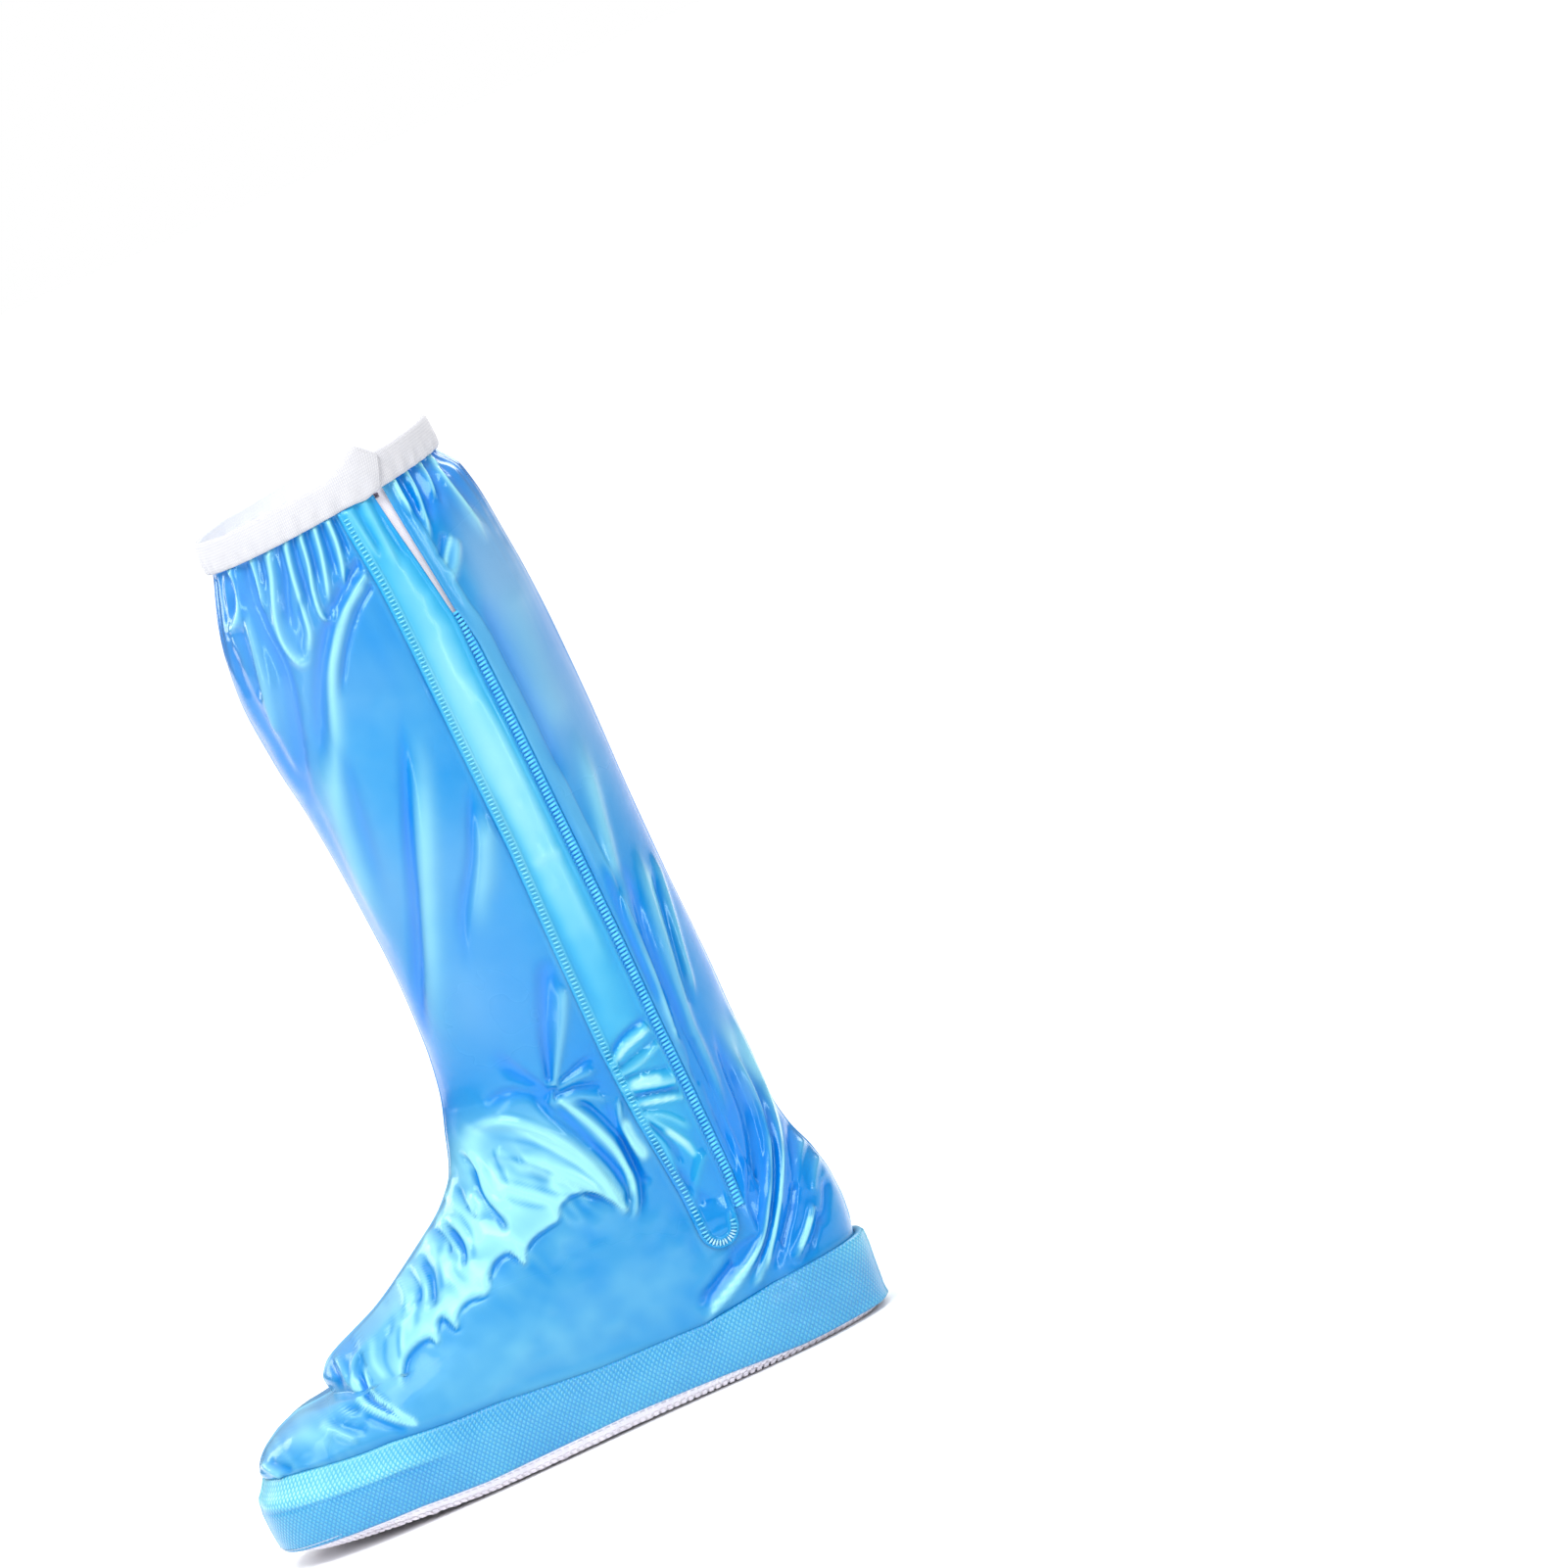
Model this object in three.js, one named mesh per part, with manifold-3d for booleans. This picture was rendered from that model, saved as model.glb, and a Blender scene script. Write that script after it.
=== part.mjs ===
// A tall rain shoe cover for one foot, standing on its sole.
// Millimetres, +Z up. The toe points along -X, the zip is on the -Y side and the
// origin is on the floor under the middle of the cover.
// The film upper, its welt and its sole follow one skin, lofted through level
// sections; every other piece lies a stated distance inside or outside that skin.

import * as THREE from 'three';
import Module from 'manifold-3d';
import { mergeVertices } from 'three/addons/utils/BufferGeometryUtils.js';

// Overall sizes
const soleLength = 295;
const ballWidth = 108;
const calfWidth = 114;
const throatHeight = 149;
const filmHeight = 435;
const mouthRise = 10.4;

// Walls and clearances
const filmWall = 1.2;
const clearance = 0.3;

// Welt round the foot and sole under it
const weltHeight = 30;
const weltWall = 2;
const soleFloor = 4;
const soleRim = 2.5;
const toeSpring = 7;
const toeSpringPower = 1.15;

// Elastic band round the mouth
const bandHeight = 15;
const bandWall = 1.6;
const bandPeak = 7;
const bandPeakWidth = 16;
const bandLap = 9;
const bandLapRamp = 14;
const gatherCount = 18;
const gatherDepth = 2.6;
const gatherFull = 11;
const gatherLength = 58;

// Zip and the flap beside it
const flapWall = 1;
const flapFoot = 57;
const flapHem = 13;
const flapFootBlunt = 0.12;
const chainWidth = 5;
const chainProud = 0.7;
const zipOpenLength = 62;
const tapeWidth = 20;
const tapeWall = 0.8;
const tapeHem = 9;
const stopHeight = 3;

// Fineness of the mesh
const columns = 72;
const flapCells = 4;
const tapeCells = 4;
const foldSamples = 12;
const normalReach = 0.5;
const levelMargin = 0.15;
const weldDistance = 1e-5;

// The welt's lower and upper edge from toe to heel. `along` is a share of soleLength
// from the toe, the other two are shares of weltHeight above the sole's underside.
const weltEdges = [
  { along: 0.0, bottom: 0.067, top: 1.1 },
  { along: 0.225, bottom: 0.22, top: 1.27 },
  { along: 0.395, bottom: 0.23, top: 1.23 },
  { along: 0.56, bottom: 0.245, top: 1.05 },
  { along: 0.73, bottom: 0.18, top: 0.99 },
  { along: 0.85, bottom: 0.1, top: 1.12 },
  { along: 1.0, bottom: 0.09, top: 1.15 },
];
const springStartShare = 0.335;

// Sections inside the welt. `reach` is a share of the way from the welt's lower edge to
// its upper edge, with -1 for the sole's underside. `front` and `back` are shares of
// soleLength from the toe, `half` is a share of ballWidth, `widest` is where along the
// section it is widest, and `nose` and `tail` are the powers of its two rounded ends.
const weltSections = [
  { reach: -1, front: 0.041, back: 0.969, half: 0.435, widest: 0.34, nose: 2.5, tail: 2.5 },
  { reach: 0, front: 0.013, back: 0.987, half: 0.472, widest: 0.34, nose: 2.6, tail: 2.6 },
  { reach: 0.3, front: 0.0095, back: 0.991, half: 0.479, widest: 0.34, nose: 2.6, tail: 2.6 },
  { reach: 0.62, front: 0.008, back: 0.993, half: 0.479, widest: 0.34, nose: 2.6, tail: 2.6 },
  { reach: 1, front: 0.032, back: 0.99, half: 0.468, widest: 0.34, nose: 2.5, tail: 2.6 },
];

// Sections of the foot. `up` is a share of the way from the welt's highest point to
// throatHeight.
const footSections = [
  { up: 0.041, front: 0.019, back: 0.994, half: 0.463, widest: 0.34, nose: 2.5, tail: 2.6 },
  { up: 0.11, front: 0.037, back: 0.996, half: 0.454, widest: 0.34, nose: 2.4, tail: 2.5 },
  { up: 0.173, front: 0.072, back: 0.995, half: 0.44, widest: 0.35, nose: 2.3, tail: 2.5 },
  { up: 0.213, front: 0.112, back: 0.9945, half: 0.431, widest: 0.36, nose: 2.2, tail: 2.5 },
  { up: 0.227, front: 0.171, back: 0.994, half: 0.426, widest: 0.36, nose: 2.1, tail: 2.5 },
  { up: 0.284, front: 0.168, back: 0.99, half: 0.417, widest: 0.37, nose: 2.0, tail: 2.5 },
  { up: 0.339, front: 0.179, back: 0.985, half: 0.407, widest: 0.4, nose: 1.9, tail: 2.4 },
  { up: 0.477, front: 0.289, back: 0.967, half: 0.394, widest: 0.45, nose: 1.8, tail: 2.3 },
  { up: 0.609, front: 0.3685, back: 0.959, half: 0.389, widest: 0.48, nose: 1.8, tail: 2.2 },
  { up: 0.743, front: 0.4375, back: 0.958, half: 0.398, widest: 0.5, nose: 1.9, tail: 2.1 },
  { up: 0.85, front: 0.4695, back: 0.958, half: 0.412, widest: 0.5, nose: 1.95, tail: 2.0 },
];

// Sections of the shaft. `up` is a share of the way from throatHeight to filmHeight,
// `half` is a share of calfWidth, and `rise` is the share of mouthRise by which the
// section's back stands higher than its front.
const shaftSections = [
  { up: 0.0, front: 0.488, back: 0.958, half: 0.412, rise: 0 },
  { up: 0.069, front: 0.507, back: 0.958, half: 0.439, rise: 0 },
  { up: 0.15, front: 0.5165, back: 0.9565, half: 0.465, rise: 0 },
  { up: 0.24, front: 0.519, back: 0.954, half: 0.482, rise: 0 },
  { up: 0.374, front: 0.513, back: 0.9525, half: 0.491, rise: 0 },
  { up: 0.528, front: 0.5005, back: 0.954, half: 0.5, rise: 0 },
  { up: 0.647, front: 0.484, back: 0.9525, half: 0.5, rise: 0.1 },
  { up: 0.745, front: 0.477, back: 0.9485, half: 0.496, rise: 0.25 },
  { up: 0.829, front: 0.483, back: 0.9405, half: 0.478, rise: 0.5 },
  { up: 0.885, front: 0.493, back: 0.934, half: 0.456, rise: 0.7 },
  { up: 0.93, front: 0.506, back: 0.9235, half: 0.43, rise: 0.9 },
  { up: 0.972, front: 0.517, back: 0.898, half: 0.408, rise: 1 },
  { up: 1.0, front: 0.517, back: 0.898, half: 0.408, rise: 1 },
];

// The two lines that the zip follows. `up` is a share of filmHeight, `flap` and `chain`
// are the flap's front edge and the middle of the zip, as shares of soleLength.
const zipLines = [
  { up: 0.13, flap: 0.777, chain: 0.846 },
  { up: 0.2, flap: 0.7735, chain: 0.8525 },
  { up: 0.29, flap: 0.76, chain: 0.851 },
  { up: 0.37, flap: 0.7535, chain: 0.848 },
  { up: 0.48, flap: 0.7525, chain: 0.847 },
  { up: 0.6, flap: 0.7535, chain: 0.842 },
  { up: 0.72, flap: 0.7475, chain: 0.837 },
  { up: 0.83, flap: 0.743, chain: 0.829 },
  { up: 0.9, flap: 0.738, chain: 0.814 },
  { up: 0.96, flap: 0.728, chain: 0.8 },
  { up: 1.02, flap: 0.722, chain: 0.788 },
];
const zipPlace = zipLines[zipLines.length - 1].chain;

// Main folds in the film, each a bent line from its first point past its second to its
// third. `x` values are shares of soleLength from the toe and `z` values are shares of
// filmHeight; `width` is a share of calfWidth; `depth` is how far the fold stands out of
// the skin, as a share of gatherDepth. `side` is the face of the cover it lies on.
const folds = [
  { side: 'zip', x: [0.725, 0.61, 0.55], z: [0.9, 0.83, 0.72], width: 0.06, depth: 1.2 },
  { side: 'zip', x: [0.71, 0.6, 0.527], z: [0.76, 0.62, 0.447], width: 0.07, depth: 1.3 },
  { side: 'zip', x: [0.66, 0.57, 0.535], z: [0.8, 0.66, 0.5], width: 0.06, depth: -0.9 },
  { side: 'zip', x: [0.522, 0.65, 0.688], z: [0.352, 0.32, 0.205], width: 0.06, depth: 1.5 },
  { side: 'zip', x: [0.665, 0.71, 0.72], z: [0.34, 0.29, 0.22], width: 0.045, depth: -1.2 },
  { side: 'zip', x: [0.935, 0.965, 0.76], z: [0.36, 0.19, 0.085], width: 0.05, depth: 1.3 },
  { side: 'zip', x: [0.175, 0.2, 0.275], z: [0.165, 0.145, 0.105], width: 0.045, depth: 0.9 },
  { side: 'zip', x: [0.285, 0.4, 0.63], z: [0.145, 0.185, 0.245], width: 0.055, depth: 0.9 },
  { side: 'plain', x: [0.665, 0.57, 0.52], z: [0.66, 0.53, 0.42], width: 0.06, depth: 1.3 },
  { side: 'plain', x: [0.55, 0.52, 0.525], z: [0.9, 0.7, 0.47], width: 0.05, depth: -1.1 },
  { side: 'plain', x: [0.5, 0.7, 0.9], z: [0.34, 0.345, 0.4], width: 0.06, depth: 1.4 },
  { side: 'plain', x: [0.5, 0.62, 0.69], z: [0.33, 0.26, 0.19], width: 0.06, depth: 1.3 },
  { side: 'plain', x: [0.72, 0.84, 0.955], z: [0.19, 0.25, 0.28], width: 0.06, depth: 1.4 },
  { side: 'plain', x: [0.42, 0.38, 0.3], z: [0.27, 0.18, 0.1], width: 0.05, depth: 1.1 },
];

// Where the relief of folds and gathers fades out: over the first share of filmHeight
// above the welt, beside the zip over a share of soleLength, round the toe and the heel
// over a share of a section's half width, and at a fold's ends over a share of it.
const reliefFadeShare = 0.035;
const zipCalmShare = 0.045;
const foldRoundShare = 0.3;
const foldTaperShare = 0.12;

// The sole narrows between ball and heel by this share, round this place on it.
const waistShare = 0.1;
const waistPlaceShare = 0.62;
const waistSpreadShare = 0.16;
const waistTopShare = 0.3;

// A piece's colour, roughness and metalness
const finishes = {
  film: { color: 0x5ab0f4, roughness: 0.22, metalness: 0 },
  flap: { color: 0x62c2fa, roughness: 0.24, metalness: 0 },
  welt: { color: 0x4baff5, roughness: 0.4, metalness: 0 },
  tape: { color: 0xf2eef4, roughness: 0.8, metalness: 0 },
  chain: { color: 0x3a9fe6, roughness: 0.35, metalness: 0 },
  stop: { color: 0x6f6a78, roughness: 0.4, metalness: 0.6 },
  band: { color: 0xf5f7fd, roughness: 0.85, metalness: 0 },
  sole: { color: 0xf4eef6, roughness: 0.6, metalness: 0 },
};

const toSkin = (share) => (share - 0.5) * soleLength;
const toShare = (x) => x / soleLength + 0.5;
const mix = (a, b, t) => a + (b - a) * t;
const smooth = (from, to, value) => THREE.MathUtils.smoothstep(value, from, to);

/** Reads one column of a table whose rows are sorted by the column `key`. */
function readTable(table, key, column, at) {
  const last = table.length - 1;
  if (at <= table[0][key]) return table[0][column];
  if (at >= table[last][key]) return table[last][column];
  const next = table.findIndex((row) => row[key] > at);
  const low = table[next - 1];
  const high = table[next];
  return mix(low[column], high[column], (at - low[key]) / (high[key] - low[key]));
}

/** Height of the sole's underside at a share of the length from the toe. */
function soleUnderside(along) {
  const ahead = Math.max(0, springStartShare - along) / springStartShare;
  return toeSpring * Math.pow(ahead, toeSpringPower);
}

function weltEdge(edge, along) {
  return soleUnderside(along) + weltHeight * readTable(weltEdges, 'along', edge, along);
}

const weltCrown = Math.max(...weltEdges.map((row) => weltEdge('top', row.along)));

/** All sections from the sole's underside to the mouth, with heights as functions. */
const sections = [
  ...weltSections.map((row) => ({
    ...row,
    half: row.half * ballWidth,
    waist: waistShare,
    height: (along) =>
      row.reach < 0
        ? soleUnderside(along)
        : mix(weltEdge('bottom', along), weltEdge('top', along), row.reach),
  })),
  ...footSections.map((row) => ({
    ...row,
    half: row.half * ballWidth,
    waist: waistShare * Math.max(0, 1 - row.up / waistTopShare),
    height: () => mix(weltCrown, throatHeight, row.up),
  })),
  ...shaftSections.map((row) => ({
    ...row,
    half: row.half * calfWidth,
    widest: 0.5,
    nose: 2,
    tail: 2,
    waist: 0,
    height: (along) => {
      const across = (along - row.front) / (row.back - row.front) - 0.5;
      return mix(throatHeight, filmHeight, row.up) + row.rise * mouthRise * across;
    },
  })),
];
const weltFoot = 1;
const filmFoot = 2;
const weltHead = weltSections.length - 1;
const bandFoot = sections.length - 2;
const filmHead = sections.length - 1;

/** A point of one section. The angle runs from the toe past the zip side to the heel. */
function sectionPoint(section, angle) {
  const u = (1 - Math.cos(angle)) / 2;
  const ahead = u < section.widest;
  const span = ahead ? section.widest : 1 - section.widest;
  const power = ahead ? section.nose : section.tail;
  const t = Math.abs(u - section.widest) / span;
  const round = Math.pow(Math.max(0, 1 - Math.pow(t, power)), 1 / power);
  const waist = 1 - section.waist * Math.exp(-(((u - waistPlaceShare) / waistSpreadShare) ** 2));
  const side = Math.sin(angle) >= 0 ? -1 : 1;
  const along = mix(section.front, section.back, u);
  return new THREE.Vector3(toSkin(along), side * section.half * round * waist, section.height(along));
}

/** A point of the skin between two sections; level 0 is the sole's underside. */
function skinPoint(level, angle) {
  const low = Math.min(filmHead - 1, Math.max(0, Math.floor(level)));
  const lower = sectionPoint(sections[low], angle);
  return lower.lerp(sectionPoint(sections[low + 1], angle), level - low);
}

function skinNormal(level, angle) {
  const turn = Math.PI / columns;
  const around = skinPoint(level, angle + turn).sub(skinPoint(level, angle - turn));
  const low = Math.max(0, level - normalReach);
  const high = Math.min(filmHead, level + normalReach);
  const up = skinPoint(high, angle).sub(skinPoint(low, angle));
  return around.cross(up).normalize();
}

function zipLine(column, height) {
  return toSkin(readTable(zipLines, 'up', column, height / filmHeight));
}

const onZipSide = (angle) => Math.sin(angle) > 0;

/** 0 where the zip and its flap lie flat on the film, 1 away from them. */
function awayFromZip(point, angle) {
  if (!onZipSide(angle)) return 1;
  const fade = zipCalmShare * soleLength;
  const front = zipLine('flap', point.z) - point.x;
  const behind = point.x - zipLine('chain', point.z) - tapeWidth / 2;
  const beside = Math.max(front, behind);
  const below = flapFoot - point.z;
  return smooth(0, fade, Math.max(beside, below));
}

const foldLines = folds.map((fold) => {
  const corners = fold.x.map((x, i) => new THREE.Vector2(toSkin(x), fold.z[i] * filmHeight));
  const curve = new THREE.QuadraticBezierCurve(...corners);
  return { ...fold, points: curve.getPoints(foldSamples) };
});

/** How far one fold lifts the film at a point, fading to nothing at the fold's ends. */
function foldLift(fold, point) {
  let nearest = Infinity;
  let place = 0;
  fold.points.forEach((sample, i) => {
    const distance = Math.hypot(point.x - sample.x, point.z - sample.y);
    if (distance < nearest) {
      nearest = distance;
      place = i / foldSamples;
    }
  });
  const across = nearest / (fold.width * calfWidth);
  const taper = Math.sin(Math.PI * mix(foldTaperShare, 1 - foldTaperShare, place));
  return fold.depth * gatherDepth * Math.exp(-across * across) * taper;
}

/** The gathers start flat under the band, are deepest a little below it and run out. */
function gatherLift(point, angle) {
  const below = sections[bandFoot].height(toShare(point.x)) - point.z;
  const envelope = smooth(0, gatherFull, below) * (1 - smooth(gatherFull, gatherLength, below));
  return gatherDepth * envelope * Math.cos(gatherCount * angle);
}

/** Relief of the film over its skin: its folds, and the gathers under the band. */
function relief(point, angle) {
  const side = onZipSide(angle) ? 'zip' : 'plain';
  const aboveWelt = point.z - weltEdge('top', toShare(point.x));
  const fade = smooth(0, reliefFadeShare * filmHeight, aboveWelt) * awayFromZip(point, angle);
  const lifts = foldLines.filter((fold) => fold.side === side).map((fold) => foldLift(fold, point));
  const edge = Math.abs(Math.sin(angle));
  const folded = lifts.reduce((sum, lift) => sum + lift, 0) * smooth(0, foldRoundShare, edge);
  return fade * (folded + gatherLift(point, angle));
}

function filmPoint(level, angle, offset) {
  const point = skinPoint(level, angle);
  const lift = offset + relief(point, angle);
  return point.addScaledVector(skinNormal(level, angle), lift);
}

function offsetPoint(level, angle, offset) {
  return skinPoint(level, angle).addScaledVector(skinNormal(level, angle), offset);
}

/** The level at which the skin stands at a height, beside the zip. */
function levelAt(height) {
  const beside = (section) => section.height(zipPlace);
  const above = sections.findIndex((section, i) => i > weltHead && beside(section) > height);
  const next = above < 0 ? filmHead : above;
  const low = beside(sections[next - 1]);
  return next - 1 + (height - low) / (beside(sections[next]) - low);
}

/** The angle at which a section of the zip side passes a place x. */
function angleAt(level, x) {
  const low = Math.min(filmHead - 1, Math.floor(level));
  const t = level - low;
  const front = toSkin(mix(sections[low].front, sections[low + 1].front, t));
  const back = toSkin(mix(sections[low].back, sections[low + 1].back, t));
  return Math.acos(1 - 2 * ((x - front) / (back - front)));
}

/** Closed geometry from corner points and triangles given as index triples. */
function geometryFrom(points, triangles) {
  const geometry = new THREE.BufferGeometry();
  const position = points.flatMap((point) => [point.x, point.y, point.z]);
  geometry.setAttribute('position', new THREE.Float32BufferAttribute(position, 3));
  geometry.setIndex(triangles.flat());
  return geometry;
}

const quad = (a, b, c, d) => [
  [a, b, c],
  [a, c, d],
];

/**
 * Joins rings of points into a closed tube wall, ring after ring and the last ring back
 * to the first. Each ring runs once round; the rings turn from outside over the top to
 * the inside.
 */
function ringWall(rings) {
  const around = rings[0].length;
  const points = rings.flat();
  const triangles = [];
  rings.forEach((_, r) => {
    const next = (r + 1) % rings.length;
    for (let j = 0; j < around; j += 1) {
      const k = (j + 1) % around;
      triangles.push(...quad(r * around + j, r * around + k, next * around + k, next * around + j));
    }
  });
  return geometryFrom(points, triangles);
}

/** A closed sheet between an outer and an inner grid of points, row above row. */
function sheet(outer, inner) {
  const rows = outer.length;
  const across = outer[0].length;
  const points = [...outer.flat(), ...inner.flat()];
  const half = rows * across;
  const out = (r, c) => r * across + c;
  const back = (r, c) => half + r * across + c;
  const triangles = [];
  for (let r = 0; r < rows - 1; r += 1) {
    for (let c = 0; c < across - 1; c += 1) {
      triangles.push(...quad(out(r, c), out(r, c + 1), out(r + 1, c + 1), out(r + 1, c)));
      triangles.push(...quad(back(r, c), back(r + 1, c), back(r + 1, c + 1), back(r, c + 1)));
    }
    const end = across - 1;
    triangles.push(...quad(out(r, 0), out(r + 1, 0), back(r + 1, 0), back(r, 0)));
    triangles.push(...quad(out(r, end), back(r, end), back(r + 1, end), out(r + 1, end)));
  }
  const top = rows - 1;
  for (let c = 0; c < across - 1; c += 1) {
    triangles.push(...quad(out(0, c), back(0, c), back(0, c + 1), out(0, c + 1)));
    triangles.push(...quad(out(top, c), out(top, c + 1), back(top, c + 1), back(top, c)));
  }
  return geometryFrom(points, triangles);
}

const slitFoot = flapFoot + flapHem;

/** The height just under the band's lower edge, at one of the zip's lines. */
function underBand(column) {
  return sections[bandFoot].height(toShare(zipLine(column, filmHeight))) - 2 * clearance;
}

const columnAngles = Array.from({ length: columns }, (_, j) => (2 * Math.PI * j) / columns);
const ring = (pointAt) => columnAngles.map(pointAt);

/** A sheet that follows the skin beside the zip, from one height to another. */
function zipSheet({ foot, head, cells, left, right, inner, outer }) {
  const levels = [levelAt(foot)];
  const last = levelAt(head) - levelMargin;
  for (let level = Math.ceil(levels[0] + levelMargin); level < last; level += 1) levels.push(level);
  levels.push(levelAt(head));
  const grid = (offset) =>
    levels.map((level) => {
      const height = skinPoint(level, angleAt(level, zipLine('chain', foot))).z;
      const from = left(height);
      const to = right(height);
      return Array.from({ length: cells + 1 }, (_, c) => {
        return offsetPoint(level, angleAt(level, mix(from, to, c / cells)), offset);
      });
    });
  return sheet(grid(outer), grid(inner));
}

/** Shared corners only, as the solid library wants them. */
function solidFrom(wasm, geometry) {
  const bare = mergeVertices(geometry, weldDistance);
  return new wasm.Manifold(
    new wasm.Mesh({
      numProp: 3,
      vertProperties: new Float32Array(bare.attributes.position.array),
      triVerts: new Uint32Array(bare.index.array),
    }),
  );
}

function geometryOf(solid) {
  const mesh = solid.getMesh();
  const geometry = new THREE.BufferGeometry();
  geometry.setAttribute('position', new THREE.Float32BufferAttribute(mesh.vertProperties, 3));
  geometry.setIndex(Array.from(mesh.triVerts));
  return geometry;
}

/** The film upper: a thin wall open at the mouth and above the sole, slit for the zip. */
function upperFilm(wasm) {
  const rings = [];
  for (let level = filmFoot; level <= filmHead; level += 1) {
    rings.push(ring((angle) => filmPoint(level, angle, 0)));
  }
  for (let level = filmHead; level >= filmFoot; level -= 1) {
    rings.push(ring((angle) => filmPoint(level, angle, -filmWall)));
  }
  const reach = filmWall + clearance;
  const slitHalf = chainWidth / 2 + clearance;
  const slit = zipSheet({
    foot: slitFoot,
    head: filmHeight + mouthRise + bandHeight,
    cells: 1,
    left: (height) => zipLine('chain', height) - slitHalf,
    right: (height) => zipLine('chain', height) + slitHalf,
    inner: -reach - filmWall,
    outer: reach,
  });
  return geometryOf(solidFrom(wasm, ringWall(rings)).subtract(solidFrom(wasm, slit)));
}

/** The welt: a band round the foot that covers the joint of film and sole. */
function welt() {
  const rings = [];
  const levels = [];
  for (let level = weltFoot; level <= weltHead; level += 1) levels.push(level);
  levels.forEach((level) => {
    rings.push(ring((angle) => offsetPoint(level, angle, clearance + weltWall)));
  });
  levels.reverse().forEach((level) => {
    rings.push(ring((angle) => offsetPoint(level, angle, clearance)));
  });
  return ringWall(rings);
}

/** The sole: a shallow tray whose rim stands inside the welt, under the film. */
function outsole() {
  const lowered = (point, drop) => point.setZ(point.z - drop);
  const floorPoint = (angle) => {
    const point = offsetPoint(weltFoot, angle, -soleRim);
    return point.setZ(soleUnderside(toShare(point.x)) + soleFloor);
  };
  const rings = [
    ring((angle) => skinPoint(0, angle)),
    ring((angle) => skinPoint(weltFoot, angle)),
    ring((angle) => lowered(skinPoint(filmFoot, angle), clearance)),
    ring((angle) => lowered(offsetPoint(filmFoot, angle, -soleRim), clearance)),
    ring(floorPoint),
  ];
  const points = rings.flat();
  const triangles = [];
  const wrap = (j) => (j + columns) % columns;
  for (let r = 0; r < rings.length - 1; r += 1) {
    for (let j = 0; j < columns; j += 1) {
      const k = wrap(j + 1);
      const low = r * columns;
      const high = (r + 1) * columns;
      triangles.push(...quad(low + j, low + k, high + k, high + j));
    }
  }
  const floor = (rings.length - 1) * columns;
  for (let j = 0; j < columns / 2; j += 1) {
    const corners = [j, j + 1, wrap(-j - 1), wrap(-j)];
    const faces = quad(...corners).filter((face) => new Set(face).size === 3);
    faces.forEach(([a, b, c]) => {
      triangles.push([a, c, b]);
      triangles.push([floor + a, floor + b, floor + c]);
    });
  }
  return geometryFrom(points, triangles);
}

/**
 * The elastic band: a strip round the mouth whose front end laps over its rear end at
 * the zip, with the lapping corner standing up.
 */
function topBand() {
  const mouth = sections[bandFoot];
  const seam = angleAt(bandFoot, zipLine('chain', filmHeight));
  const toTurn = (length) => (2 * length) / ((mouth.back - mouth.front) * soleLength);
  const from = seam - toTurn(bandLap) / 2;
  const turn = 2 * Math.PI + toTurn(bandLap);
  const point = (share, offset, head) => {
    const left = turn * (1 - share);
    const lapped = 1 - smooth(toTurn(bandLap), toTurn(bandLap + bandLapRamp), left);
    const lift = lapped * (bandWall + clearance);
    const across = (left - toTurn(bandPeakWidth) / 2) / (toTurn(bandPeakWidth) / 2);
    const peak = bandPeak * Math.exp(-across * across);
    const at = offsetPoint(bandFoot, from + turn * share, offset + lift);
    return at.setZ(at.z + head * (bandHeight + peak));
  };
  const shares = Array.from({ length: columns + 1 }, (_, c) => c / columns);
  const grid = (offset) => [0, 1].map((head) => shares.map((share) => point(share, offset, head)));
  return sheet(grid(clearance + bandWall), grid(clearance));
}

/** The flap: a long strip on the film in front of the zip, rounded at its foot. */
function zipFlap() {
  const freeEdge = (height) => zipLine('chain', height) - chainWidth / 2 - clearance;
  const halfWidth = (height) => (freeEdge(height) - zipLine('flap', height)) / 2;
  const rounded = (height) => {
    const full = halfWidth(height);
    const t = Math.min(1, Math.max(flapFootBlunt, (height - flapFoot) / full));
    return full * Math.sqrt(1 - (1 - t) * (1 - t));
  };
  const middle = (height) => (freeEdge(height) + zipLine('flap', height)) / 2;
  return zipSheet({
    foot: flapFoot,
    head: underBand('chain'),
    cells: flapCells,
    left: (height) => middle(height) - rounded(height),
    right: (height) => middle(height) + rounded(height),
    inner: clearance,
    outer: clearance + flapWall,
  });
}

/** The zip's woven tape, behind the slit in the film. */
function zipTape() {
  const behind = -filmWall - clearance;
  return zipSheet({
    foot: slitFoot - tapeHem,
    head: filmHeight - 2 * clearance,
    cells: tapeCells,
    left: (height) => zipLine('chain', height) - tapeWidth / 2,
    right: (height) => zipLine('chain', height) + tapeWidth / 2,
    inner: behind - tapeWall,
    outer: behind,
  });
}

/** A narrow strip that stands in the slit, just clear of the tape. */
function inSlit(foot, head) {
  return zipSheet({
    foot,
    head,
    cells: 1,
    left: (height) => zipLine('chain', height) - chainWidth / 2,
    right: (height) => zipLine('chain', height) + chainWidth / 2,
    inner: -filmWall,
    outer: chainProud,
  });
}

/** The zip's closed chain of teeth, up to the open stretch under the band. */
const zipChain = () => inSlit(slitFoot + 2 * clearance, underBand('chain') - zipOpenLength);

/** The stop that ends the zip just under the band. */
const zipStop = () => inSlit(underBand('chain') - stopHeight, underBand('chain'));

function piece(name, geometry, finish) {
  const mesh = new THREE.Mesh(geometry, new THREE.MeshStandardMaterial(finish));
  mesh.name = name;
  return mesh;
}

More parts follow.
